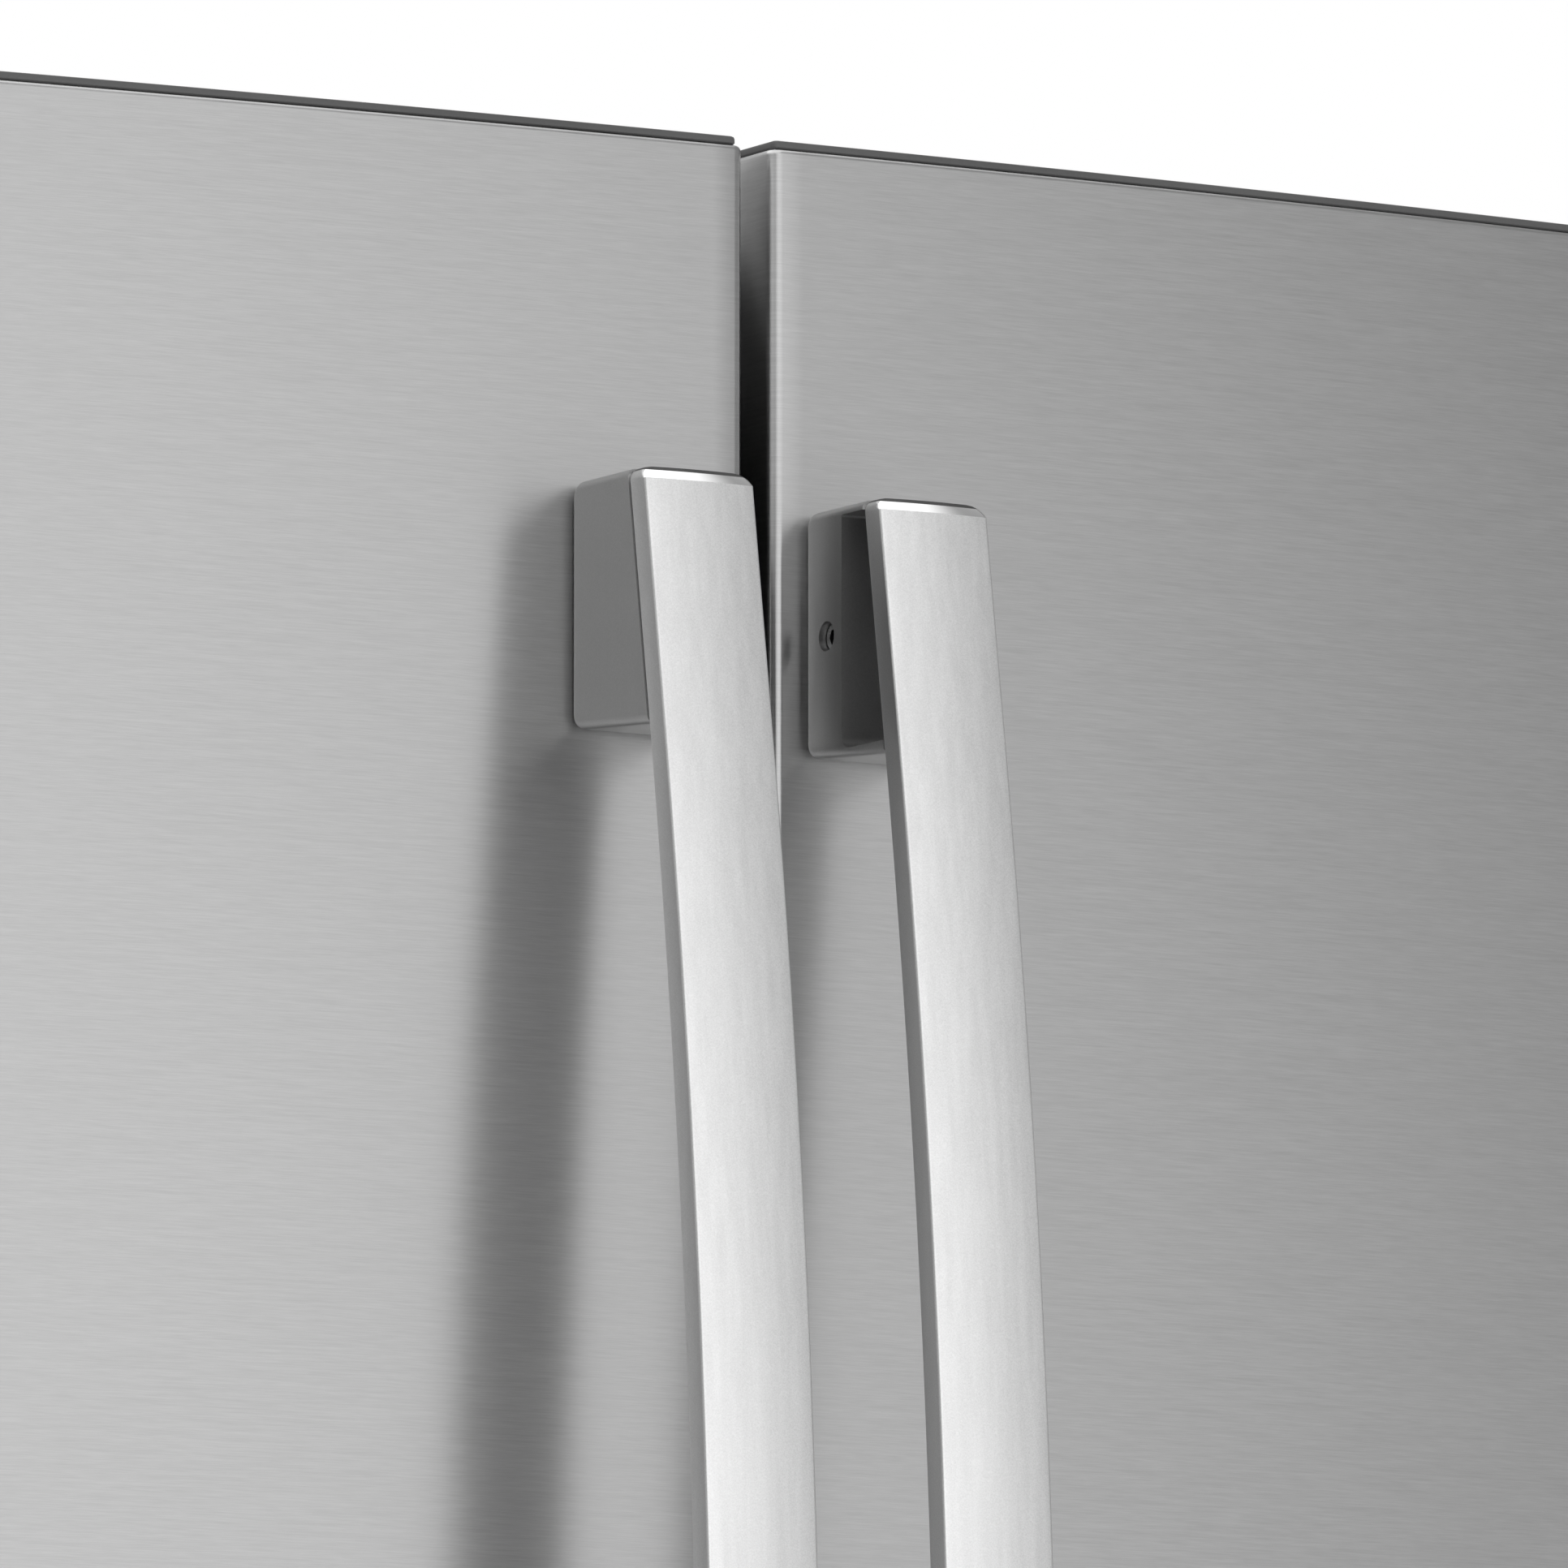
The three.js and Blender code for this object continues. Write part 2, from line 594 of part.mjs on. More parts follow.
// The drawer's handle lies across the curved face, so its posts reach back and are cut to that curve.
function makeDrawerHandle() {
  const reachBack = 30;
  const quarterTurn = new THREE.Matrix4().makeRotationY(Math.PI / 2);
  const place = new THREE.Matrix4().makeTranslation(0, front.face, drawerHandleHeight);
  const toWorld = new THREE.Matrix4().multiplyMatrices(place, quarterTurn);
  const flip = new THREE.Matrix4().multiplyMatrices(toWorld, new THREE.Matrix4().makeRotationY(Math.PI));
  const nearFace = extrude(doorOutline(-front.halfWidth, front.halfWidth, -fit, front.back), 'z',
    [drawerFront.bottom, drawerFront.top]);
  const bar = makeHandleBar().transform(toWorld.elements);
  const rightPost = cut(makeHandlePost(1, reachBack).transform(toWorld.elements), nearFace);
  const leftPost = cut(makeHandlePost(-1, reachBack).transform(flip.elements), nearFace);
  return { bar, rightPost, leftPost };
}

// ---- Freezer drawer -------------------------------------------------------------------------------

function makeFreezerCore() {
  const core = makeDoorCore(-front.halfWidth, front.halfWidth, [drawerFront.bottom, drawerFront.top]);
  const ring = makeDykeRing([-398, 398], [128, 688], 4);
  return join(core, ring);
}

function makeFixedRail(side) {
  const { front: near, back, bottom, top } = slide;
  const web = block([side * 391, side * (cavity.halfWidth - fit)], [near, back], [bottom, top]);
  const lips = [[bottom, bottom + 3], [top - 3, top]].map((span) => block([side * 391, side * 388], [near, back], span));
  return join(web, ...lips.map((lip) => lip));
}

function makeMiddleRail(side) {
  const { front: near, back, bottom, top } = slide;
  const web = block([side * 381, side * 387.5], [near, back], [bottom, top]);
  const bead = block([side * 387, side * 390.5], [near, back], [bottom + 6, top - 6]);
  return join(web, bead);
}

function makeCarriage() {
  const { back, bottom, top } = slide;
  const nose = front.back + fit;
  const bars = [-1, 1].map((side) => block([side * 371, side * 380.5], [nose, back], [bottom, top]));
  const plate = block([-380, 380], [nose, nose + 3], [bottom, top]);
  return join(...bars, plate);
}

function makeBasket() {
  const { halfWidth, front: near, back, bottom, top, wall } = basket;
  const body = block([-halfWidth, halfWidth], [near, back], [bottom, top]);
  const room = block([wall - halfWidth, halfWidth - wall], [near + wall, back - wall], [bottom + wall, top + 1]);
  const rims = [-1, 1].map((side) => block([side * (halfWidth - 1), side * 379], [near, back],
    [slide.top + fit, slide.top + fit + 3]));
  return join(cut(body, room), ...rims);
}

// ---- Assembly -------------------------------------------------------------------------------------

const refrigerator = new THREE.Group();
refrigerator.position.y = (handleReach - front.face - cabinet.depth) / 2;

addPiece(refrigerator, 'cabinet_wrapper', makeWrapper(), paintedSteel);
addPiece(refrigerator, 'back_panel', makeBackPanel(), galvanised);
addPiece(refrigerator, 'insulation_foam', makeInsulation(), foam);
addPiece(refrigerator, 'fresh_food_liner', makeFreshFoodLiner(), whitePlastic);
addPiece(refrigerator, 'freezer_liner', makeFreezerLiner(), whitePlastic);
addPiece(refrigerator, 'center_rail', makeCentreRail(), paintedSteel);
addPiece(refrigerator, 'base_pan', makeBasePan(), galvanised);
addPiece(refrigerator, 'base_grille', makeBaseGrille(), darkPlastic);
addPiece(refrigerator, 'air_duct_cover', makeAirDuct(), whitePlastic);
addPiece(refrigerator, 'crisper_cover', makeCrisperCover(), clearPlastic);

const rollers = addPiece(refrigerator, 'rear_roller_axle', makeRearRollers(), blackPlastic);
rollers.position.set(0, roller.y, roller.radius);

const compressor = addPiece(refrigerator, 'compressor', makeCompressor(), blackPaint);
compressor.position.set(-290, 580, cabinet.bottom + 2 + fit + 8);

const condenser = addPiece(refrigerator, 'condenser_coil', makeCondenserCoil(), blackPaint);
condenser.position.set(150, 580, cabinet.bottom + 2 + fit + 12);

const fanPlace = new THREE.Group();
fanPlace.position.set(fan.x, fan.y, fan.z);
addPiece(fanPlace, 'fan_shroud', makeFanShroud(), galvanised);
addPiece(fanPlace, 'condenser_fan', makeCondenserFan(), blackPlastic);
refrigerator.add(fanPlace);

for (const [side, word, shelfHeight, binHeights] of [[-1, 'left', 1340, [1030]], [1, 'right', 1250, [1030, 1370]]]) {
  const leg = addPiece(refrigerator, `leveling_leg_${word}`, makeLevelingLeg(), galvanised);
  leg.position.set(side * 400, 60, 0);
  addPiece(refrigerator, `top_hinge_${word}`, makeTopHinge(side), galvanised);
  addPiece(refrigerator, `mid_hinge_${word}`, makeMidHinge(side), galvanised);
  addPiece(refrigerator, `hinge_cover_${word}`, makeHingeCover(side), darkPlastic);
  const shelf = addPiece(refrigerator, `shelf_${word}`, makeShelf(side), clearPlastic);
  shelf.position.z = shelfHeight;
  addPiece(refrigerator, `crisper_${word}`, makeCrisper(side), clearPlastic);
  addPiece(refrigerator, `freezer_rail_${word}`, makeFixedRail(side), galvanised);
  addPiece(refrigerator, `freezer_middle_rail_${word}`, makeMiddleRail(side), galvanised);

  const door = new THREE.Group();
  const [from, to] = sideSpan(side, doorGap / 2, front.halfWidth);
  addPiece(door, `${word}_door_skin`, makeDoorSkin(from, to, [freshDoor.bottom, freshDoor.top]), stainless);
  addPiece(door, `${word}_door_liner`, makeFreshDoorCore(side), whitePlastic);
  addPiece(door, `${word}_door_trim`, makeDoorTrim(side), darkPlastic);
  addPiece(door, `${word}_door_gasket`,
    makeGasket(sideSpan(side, gasket.inner, gasket.outer), [gasket.bottom, gasket.top]), greyRubber);
  binHeights.forEach((height, i) => {
    const bin = addPiece(door, `${word}_door_bin_${i + 1}`, makeDoorBin(side), clearPlastic);
    bin.position.z = height;
  });
  const doorHandle = makeHandle({
    bar: `${word}_handle_bar`, start: `${word}_handle_upper_post`, end: `${word}_handle_lower_post`,
  }, -side);
  const { x, top } = handlePlaces[word];
  doorHandle.position.set(x, front.face, top - handle.length / 2);
  door.add(doorHandle);
  refrigerator.add(door);
}

const leftDoorExtras = new THREE.Group();
addPiece(leftDoorExtras, 'mullion_flipper', makeMullion(), whitePlastic);
const dairyBin = addPiece(leftDoorExtras, 'dairy_bin', makeDoorBin(-1), clearPlastic);
dairyBin.position.z = dairy.bottom;
addPiece(leftDoorExtras, 'dairy_lid', makeDairyLid(), clearPlastic);
refrigerator.add(leftDoorExtras);

const drawer = new THREE.Group();
addPiece(drawer, 'freezer_drawer_skin',
  makeDoorSkin(-front.halfWidth, front.halfWidth, [drawerFront.bottom, drawerFront.top]), stainless);
addPiece(drawer, 'freezer_drawer_liner', makeFreezerCore(), whitePlastic);
addPiece(drawer, 'freezer_gasket',
  makeGasket([-gasket.outer, gasket.outer], [drawerGasket.bottom, drawerGasket.top]), greyRubber);
const drawerHandle = makeDrawerHandle();
addPiece(drawer, 'freezer_handle_bar', drawerHandle.bar, satinAluminium);
addPiece(drawer, 'freezer_handle_left_post', drawerHandle.leftPost, satinAluminium);
addPiece(drawer, 'freezer_handle_right_post', drawerHandle.rightPost, satinAluminium);
addPiece(drawer, 'freezer_carriage', makeCarriage(), galvanised);
addPiece(drawer, 'freezer_basket', makeBasket(), whitePlastic);
refrigerator.add(drawer);

export default refrigerator;
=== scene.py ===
"""French door refrigerator: the looks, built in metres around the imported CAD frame."""

import json
import math

import bmesh
import bpy
from mathutils import Matrix, Vector


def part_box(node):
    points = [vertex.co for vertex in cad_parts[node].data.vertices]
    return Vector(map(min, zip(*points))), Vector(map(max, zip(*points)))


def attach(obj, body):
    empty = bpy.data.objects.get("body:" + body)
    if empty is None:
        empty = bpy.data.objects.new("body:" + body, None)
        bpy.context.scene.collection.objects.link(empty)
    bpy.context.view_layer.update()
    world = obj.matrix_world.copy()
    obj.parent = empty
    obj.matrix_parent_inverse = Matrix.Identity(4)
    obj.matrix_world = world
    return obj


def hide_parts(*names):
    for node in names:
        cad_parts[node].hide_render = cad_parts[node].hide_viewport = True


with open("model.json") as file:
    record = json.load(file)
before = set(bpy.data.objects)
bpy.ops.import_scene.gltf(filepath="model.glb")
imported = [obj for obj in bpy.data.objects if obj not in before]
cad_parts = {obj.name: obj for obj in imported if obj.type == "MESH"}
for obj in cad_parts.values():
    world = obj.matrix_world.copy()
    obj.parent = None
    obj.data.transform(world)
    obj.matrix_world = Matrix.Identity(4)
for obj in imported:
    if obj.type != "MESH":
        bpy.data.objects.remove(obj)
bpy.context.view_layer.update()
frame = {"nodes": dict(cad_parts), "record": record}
nodes = frame["nodes"]

MM = 0.001

# Driving sizes that the frame's boxes don't hold, in millimetres.
CONTOUR_RADIUS = 3200
DOOR_EDGE_RADIUS = 3.2
SKIN_SHEET = 1
HANDLE_WIDTH = 32
HANDLE_THICKNESS = 9
HANDLE_STANDOFF = 38.6
HANDLE_END = 63
HANDLE_SLOPE = 0.159
POST_BLOCK = 19
POST_WALL = 6
SCREW_FROM_TOP = 33
SCREW_FROM_DOOR = 11.4
SCREW_RADIUS = 3.9

FACE_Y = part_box("left_door_skin")[0].y / MM
DOOR_BACK_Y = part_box("left_door_skin")[1].y / MM
CABINET_FRONT_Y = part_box("cabinet_wrapper")[0].y / MM


def new_object(name, data):
    thing = bpy.data.objects.new(name, data)
    bpy.context.collection.objects.link(thing)
    return thing


# ---- Camera ----

CAMERA_FROM_FACE = Vector((-2.274, -3.917, 0.996))
CAMERA_YAW = math.radians(30.22)
CAMERA_PITCH = math.radians(7.50)
LENS_MM = 410


def make_camera():
    data = bpy.data.cameras.new("camera")
    data.sensor_width = 36
    data.lens = LENS_MM
    data.clip_start = 0.1
    data.clip_end = 200
    camera = new_object("camera", data)
    camera.location = CAMERA_FROM_FACE + Vector((0, FACE_Y * MM, 0))
    forward = Vector((
        math.sin(CAMERA_YAW) * math.cos(CAMERA_PITCH),
        math.cos(CAMERA_YAW) * math.cos(CAMERA_PITCH),
        math.sin(CAMERA_PITCH),
    ))
    camera.rotation_euler = forward.to_track_quat("-Z", "Y").to_euler()
    bpy.context.scene.camera = camera


make_camera()


# ---- Materials ----

class Graph:
    """The nodes of one material or world, added and joined by short calls."""

    def __init__(self, owner):
        owner.use_nodes = True
        self.owner = owner
        self.tree = owner.node_tree
        self.tree.nodes.clear()

    def add(self, kind, inputs=None, **settings):
        node = self.tree.nodes.new(kind)
        for key, value in settings.items():
            setattr(node, key, value)
        for key, value in (inputs or {}).items():
            if isinstance(value, bpy.types.NodeSocket):
                self.tree.links.new(value, node.inputs[key])
            else:
                node.inputs[key].default_value = value
        return node

    def place(self, rates=(1, 1, 1)):
        """Object coordinates, stretched by how often the pattern changes along x, y and z."""
        coordinates = self.add("ShaderNodeTexCoord").outputs["Object"]
        return self.add("ShaderNodeMapping", {"Vector": coordinates, "Scale": rates}).outputs["Vector"]

    def noise(self, scale, detail=3.0, roughness=0.5, rates=(1, 1, 1)):
        node = self.add(
            "ShaderNodeTexNoise",
            {"Vector": self.place(rates), "Scale": scale, "Detail": detail, "Roughness": roughness},
        )
        return node.outputs["Fac"]

    def between(self, value, low, high, from_low=0.0, from_high=1.0):
        node = self.add(
            "ShaderNodeMapRange",
            {"Value": value, "From Min": from_low, "From Max": from_high, "To Min": low, "To Max": high},
        )
        return node.outputs["Result"]

    def sum(self, first, second, weight=1.0):
        node = self.add("ShaderNodeMath", {0: second, 1: weight, 2: first}, operation="MULTIPLY_ADD")
        return node.outputs["Value"]

    def shade(self, value, dark, light, from_low=0.3, from_high=0.7):
        ramp = self.add("ShaderNodeValToRGB", {"Fac": self.between(value, 0, 1, from_low, from_high)})
        ramp.color_ramp.elements[0].color = (*dark, 1)
        ramp.color_ramp.elements[1].color = (*light, 1)
        return ramp.outputs["Color"]

    def bump(self, height, strength, distance):
        node = self.add("ShaderNodeBump", {"Height": height, "Strength": strength, "Distance": distance})
        return node.outputs["Normal"]

    def finish(self, **sockets):
        inputs = {name.replace("_", " "): value for name, value in sockets.items()}
        shader = self.add("ShaderNodeBsdfPrincipled", inputs)
        self.add("ShaderNodeOutputMaterial", {"Surface": shader.outputs["BSDF"]})
        return self.owner


def new_graph(name):
    return Graph(bpy.data.materials.new(name))


def grey(level):
    return (level, level, level)


def brushed_metal(name, level, roughness, grain, anisotropy=0.75, depth=0.5):
    """Metal with fine brush lines. grain gives how often the lines change along x, y and z."""
    g = new_graph(name)
    hairs = g.noise(1.0, roughness=0.6, rates=grain)
    bands = g.noise(1.0, detail=2, rates=tuple(0.35 * rate for rate in grain))
    clouds = g.noise(2.2, detail=2)
    mixed = g.sum(g.sum(hairs, bands, 0.5), clouds, 0.15)
    tangent = g.add("ShaderNodeTangent", direction_type="RADIAL", axis="Z")
    return g.finish(
        Base_Color=g.shade(mixed, grey(level * 0.93), grey(level * 1.07), 0.6, 1.05),
        Metallic=1.0,
        Roughness=g.between(mixed, roughness * 0.92, roughness * 1.08, 0.6, 1.05),
        Anisotropic=anisotropy,
        Anisotropic_Rotation=0.25,
        Tangent=tangent.outputs["Tangent"],
        Normal=g.bump(mixed, depth, 0.00002),
    )


def blasted_metal(name, level, roughness, metallic=1.0, streak_rates=(420, 420, 6), streak_weight=0.5):
    """Bead-blasted, anodised aluminium: a fine grain with faint long streaks."""
    g = new_graph(name)
    grains = g.noise(2600, detail=2, roughness=0.7)
    streaks = g.noise(1.0, rates=streak_rates)
    mixed = g.sum(grains, streaks, streak_weight)
    span = (0.25 + 0.5 * streak_weight, 0.75 + 0.5 * streak_weight)
    return g.finish(
        Base_Color=g.shade(mixed, grey(level * 0.88), grey(min(level * 1.08, 0.98)), *span),
        Metallic=metallic,
        Roughness=g.between(grains, roughness * 0.9, roughness * 1.12, 0.3, 0.7),
        Normal=g.bump(grains, 0.35, 0.00004),
    )


def smooth_metal(name, dark, light, glossy, hazy, scale=60, detail=3):
    g = new_graph(name)
    haze = g.noise(scale, detail=detail)
    return g.finish(
        Base_Color=g.shade(haze, dark, light),
        Metallic=1.0,
        Roughness=g.between(haze, glossy, hazy, 0.3, 0.7),
    )


def moulded_plastic(name, dark, light, roughness, pebble=900, depth=0.25):
    g = new_graph(name)
    fine = g.noise(pebble, detail=2, roughness=0.6)
    broad = g.noise(9)
    return g.finish(
        Base_Color=g.shade(g.sum(broad, fine, 0.3), dark, light, 0.45, 0.85),
        Roughness=g.between(g.sum(fine, broad, 0.5), roughness * 0.85, roughness * 1.15, 0.5, 1.0),
        Normal=g.bump(fine, depth, 0.00012),
    )


def painted_metal(name, dark, light, roughness, peel=420):
    g = new_graph(name)
    orange_peel = g.noise(peel, detail=2)
    broad = g.noise(4, detail=4)
    return g.finish(
        Base_Color=g.shade(broad, dark, light),
        Metallic=0.15,
        Roughness=g.between(g.sum(orange_peel, broad, 0.6), roughness * 0.85, roughness * 1.15, 0.5, 1.1),
        Normal=g.bump(orange_peel, 0.3, 0.0002),
        Coat_Weight=0.2,
        Coat_Roughness=0.3,
    )


def galvanised_steel(name):
    g = new_graph(name)
    spangle = g.add("ShaderNodeTexVoronoi", {"Vector": g.place(), "Scale": 110.0}, feature="F1")
    grain = g.noise(700, detail=2)
    mixed = g.sum(grain, spangle.outputs["Distance"], 0.6)
    return g.finish(
        Base_Color=g.shade(mixed, grey(0.42), grey(0.58), 0.4, 1.0),
        Metallic=0.95,
        Roughness=g.between(mixed, 0.34, 0.52, 0.4, 1.0),
        Normal=g.bump(grain, 0.2, 0.0001),
    )


def clear_material(name, tint, roughness, index):
    g = new_graph(name)
    flow = g.noise(14, detail=2)
    lighter = tuple(min(1, channel * 1.03) for channel in tint)
    return g.finish(
        Base_Color=g.shade(flow, tint, lighter),
        Roughness=g.between(flow, roughness * 0.6, roughness * 1.5, 0.3, 0.7),
        IOR=index,
        Transmission_Weight=0.94,
        Normal=g.bump(flow, 0.05, 0.0004),
    )


def rubber_material(name, level):
    g = new_graph(name)
    dust = g.noise(35, detail=4)
    skin = g.noise(1500, detail=2)
    return g.finish(
        Base_Color=g.shade(dust, grey(level * 0.9), grey(level * 1.1)),
        Roughness=g.between(skin, 0.55, 0.75, 0.3, 0.7),
        Normal=g.bump(skin, 0.3, 0.0001),
    )


def foam_material(name):
    g = new_graph(name)
    cells = g.add("ShaderNodeTexVoronoi", {"Vector": g.place(), "Scale": 380.0})
    lumps = g.noise(22, detail=4)
    return g.finish(
        Base_Color=g.shade(lumps, (0.55, 0.42, 0.16), (0.74, 0.62, 0.32)),
        Roughness=0.9,
        Normal=g.bump(g.sum(lumps, cells.outputs["Distance"], 0.4), 0.6, 0.001),
    )


SKIN = brushed_metal("stainless_door", 0.585, 0.30, (120, 120, 3600), depth=0.3)
SATIN = blasted_metal("satin_aluminium", 0.88, 0.34, metallic=0.88)
SATIN_CROSSWISE = blasted_metal("satin_aluminium_crosswise", 0.90, 0.40, metallic=0.85,
                                streak_rates=(6, 420, 420))
POST = blasted_metal("satin_post", 0.43, 0.40, streak_weight=0.1)
POCKET = blasted_metal("satin_pocket", 0.88, 0.45, metallic=0.8, streak_weight=0.1)
# A darker copy of the satin aluminium for the bar's side faces: painted shade, the sides drawn darker than
# the front as the light falls on them.
BAR_SIDE_PAINTED_SHADE = blasted_metal("satin_bar_side_painted_shade", 0.64, 0.40, streak_weight=0.2)
POLISHED = smooth_metal("polished_end", grey(0.8924), grey(0.92), 0.035, 0.07)
PAINT = painted_metal("cabinet_paint", grey(0.115), grey(0.135), 0.42)
ZINC = galvanised_steel("zinc_steel")
SCREW_STEEL = smooth_metal("screw_steel", grey(0.291), grey(0.30), 0.21, 0.42)
COPPER = smooth_metal("copper_pipe", (0.36, 0.15, 0.08), (0.62, 0.31, 0.19), 0.22, 0.42, 45, 4)
DARK = moulded_plastic("dark_trim", grey(0.060), grey(0.075), 0.42, pebble=1400)
BLACK = moulded_plastic("black_plastic", grey(0.018), grey(0.028), 0.45)
WHITE = moulded_plastic("white_liner", (0.80, 0.81, 0.82), (0.86, 0.87, 0.88), 0.32, pebble=240, depth=0.08)
CLEAR = clear_material("clear_plastic", (0.93, 0.96, 0.97), 0.06, 1.49)
GLASS = clear_material("shelf_glass", (0.88, 0.95, 0.92), 0.03, 1.52)
RUBBER = rubber_material("gasket_rubber", 0.22)
FOAM = foam_material("foam")
GLOSS_BLACK = painted_metal("black_paint", grey(0.012), grey(0.020), 0.28, peel=260)

SLOT_MATERIALS = {
    "stainless_skin": SKIN,
    "satin_handle": SATIN,
    "cabinet_paint": PAINT,
    "zinc_steel": ZINC,
    "dark_trim": DARK,
    "black_plastic": BLACK,
    "white_liner": WHITE,
    "clear_plastic": CLEAR,
    "shelf_glass": GLASS,
    "gasket_rubber": RUBBER,
    "foam": FOAM,
    "black_paint": GLOSS_BLACK,
}


def dress_cad_nodes():
    for entry in frame["record"]["subparts"]:
        mesh = nodes[entry["node"]].data
        mesh.materials.clear()
        mesh.materials.append(SLOT_MATERIALS[entry["material_slot"]])


dress_cad_nodes()


# ---- Mesh helpers ----
# Everything from here to the stage is drawn in millimetres and scaled to metres as a piece is added.

def box_mm(node):
    return [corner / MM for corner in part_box(node)]


def stitch(rings, closed=True, capped=True):
    """Points and faces of a skin over rings of points, with an end face on the first and last ring."""
    width = len(rings[0])
    faces = []
    for j in range(len(rings) - 1):
        for i in range(width if closed else width - 1):
            k = (i + 1) % width
            faces.append((j * width + i, j * width + k, (j + 1) * width + k, (j + 1) * width + i))
    if capped:
        last = (len(rings) - 1) * width
        faces += [tuple(range(width)), tuple(range(last, last + width))]
    return [point for ring in rings for point in ring], faces


def solid(rings, **options):
    """The stitched rings as an edit mesh whose normals point outwards."""
    points, faces = stitch(rings, **options)
    bm = bmesh.new()
    verts = [bm.verts.new(point) for point in points]
    for face in faces:
        bm.faces.new([verts[i] for i in face])
    bmesh.ops.recalc_face_normals(bm, faces=bm.faces)
    return bm


def to_mesh(bm, name):
    mesh = bpy.data.meshes.new(name)
    bm.to_mesh(mesh)
    bm.free()
    return mesh


def add_piece(name, mesh, body, slot, replaced=None, material=None, smooth_angle=35):
    """Makes a mesh in metres a visible piece. A mesh that has its own materials keeps them."""
    if not len(mesh.materials):
        mesh.materials.append(material or SLOT_MATERIALS[slot])
    mesh.shade_smooth()
    mesh.set_sharp_from_angle(angle=math.radians(smooth_angle))
    piece = new_object(name, mesh)
    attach(piece, body)
    if replaced:
        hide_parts(replaced)
    return piece


def add_object(name, mesh, body, slot, replaced=None, material=None, smooth_angle=40):
    """Scales a mesh to metres, welds it and adds it."""
    mesh.transform(Matrix.Scale(MM, 4))
    bm = bmesh.new()
    bm.from_mesh(mesh)
    bmesh.ops.remove_doubles(bm, verts=bm.verts, dist=1e-7)
    bmesh.ops.recalc_face_normals(bm, faces=bm.faces)
    bm.to_mesh(mesh)
    bm.free()
    return add_piece(name, mesh, body, slot, replaced, material, smooth_angle)


def add_rings(name, rings, body, slot, replaced=None, smooth_angle=40, **options):
    return add_object(name, to_mesh(solid(rings, **options), name), body, slot, replaced,
                      smooth_angle=smooth_angle)


def quarter(steps):
    """Angles from 0 to a right angle."""
    return [math.pi / 2 * i / steps for i in range(steps + 1)]


def soften(node, width):
    """Rounds a CAD node's edges. Its own mesh stays as it is."""
    piece = nodes[node]
    weld = piece.modifiers.new("weld", "WELD")
    weld.merge_threshold = 0.01 * MM
    bevel = piece.modifiers.new("bevel", "BEVEL")
    bevel.width = width * MM
    bevel.segments = 2
    bevel.limit_method = "ANGLE"
    bevel.angle_limit = math.radians(32)
    bevel.harden_normals = True


# ---- Doors ----

def face_at(x):
    return FACE_Y + x * x / (2 * CONTOUR_RADIUS)


def door_outline(left, right, inset, back):
    """A door's cross-section seen from above, from its right back edge round the front to the left."""
    contour_steps = 48
    radius = max(DOOR_EDGE_RADIUS - inset, 0.05)
    low, high = left + inset, right - inset

    def corner(centre_x, start):
        centre_y = face_at(centre_x) + inset + radius
        return [(centre_x + radius * math.cos(start - turn), centre_y + radius * math.sin(start - turn))
                for turn in quarter(6)]

    points = [(high, back), *corner(high - radius, 0)]
    for i in range(contour_steps - 1, 0, -1):
        x = low + (high - low) * i / contour_steps
        points.append((x, face_at(x) + inset))
    return [*points, *corner(low + radius, -math.pi / 2), (low, back)]


def door_rings(node, levels, back):
    """The outline of the node's door at each (inset, height) level."""
    low, high = box_mm(node)
    return [[(x, y, z) for x, y in door_outline(low.x, high.x, inset, back)] for inset, z in levels]


def door_skin(node, body):
    """The steel pan: contoured face, rounded sides, and top and bottom edges that turn in over the core."""
    low, high = box_mm(node)
    fold_radius = 1.3
    lip = 3
    edge = [(fold_radius + lip, 0)]
    edge += [(fold_radius * (1 - math.sin(turn)), fold_radius * (1 - math.cos(turn))) for turn in quarter(5)]
    levels = [(inset, low.z + rise) for inset, rise in edge]
    levels += [(inset, high.z - rise) for inset, rise in reversed(edge)]
    piece = add_rings(node + "_panel", door_rings(node, levels, DOOR_BACK_Y), body, "stainless_skin", node,
                      closed=False, capped=False)
    sheet = piece.modifiers.new("sheet", "SOLIDIFY")
    sheet.thickness = SKIN_SHEET * MM
    sheet.offset = -1


for word in ("left_door", "right_door", "freezer_drawer"):
    door_skin(f"{word}_skin", word)


# ---- Handles ----
# A handle is made in its own space: z = 0 at its middle, y = 0 on the door's tangent plane, y < 0 outwards.

def prism(outline, low, high):
    """A closed solid: an outline of (y, z) points pushed along x."""
    return solid([[(x, y, z) for y, z in outline] for x in (low, high)])


def rounded(corners, steps=6):
    """An outline from (u, v, radius) corners, with each corner rounded to its radius."""
    outline = []
    count = len(corners)
    for i, (u, v, radius) in enumerate(corners):
        here = Vector((u, v))
        before = (Vector(corners[i - 1][:2]) - here).normalized()
        after = (Vector(corners[(i + 1) % count][:2]) - here).normalized()
        if radius <= 0:
            outline.append((u, v))
            continue
        half_angle = before.angle(after) / 2
        centre = here + (before + after).normalized() * radius / math.sin(half_angle)
        start = here + before * radius / math.tan(half_angle) - centre
        end = here + after * radius / math.tan(half_angle) - centre
        turn = start.angle_signed(end)
        for k in range(steps + 1):
            outline.append(tuple(centre + Matrix.Rotation(-turn * k / steps, 2) @ start))
    return outline


def circle(u, v, radius, steps=24):
    turns = [2 * math.pi * i / steps for i in range(steps)]
    return [(u + radius * math.cos(turn), v + radius * math.sin(turn)) for turn in turns]


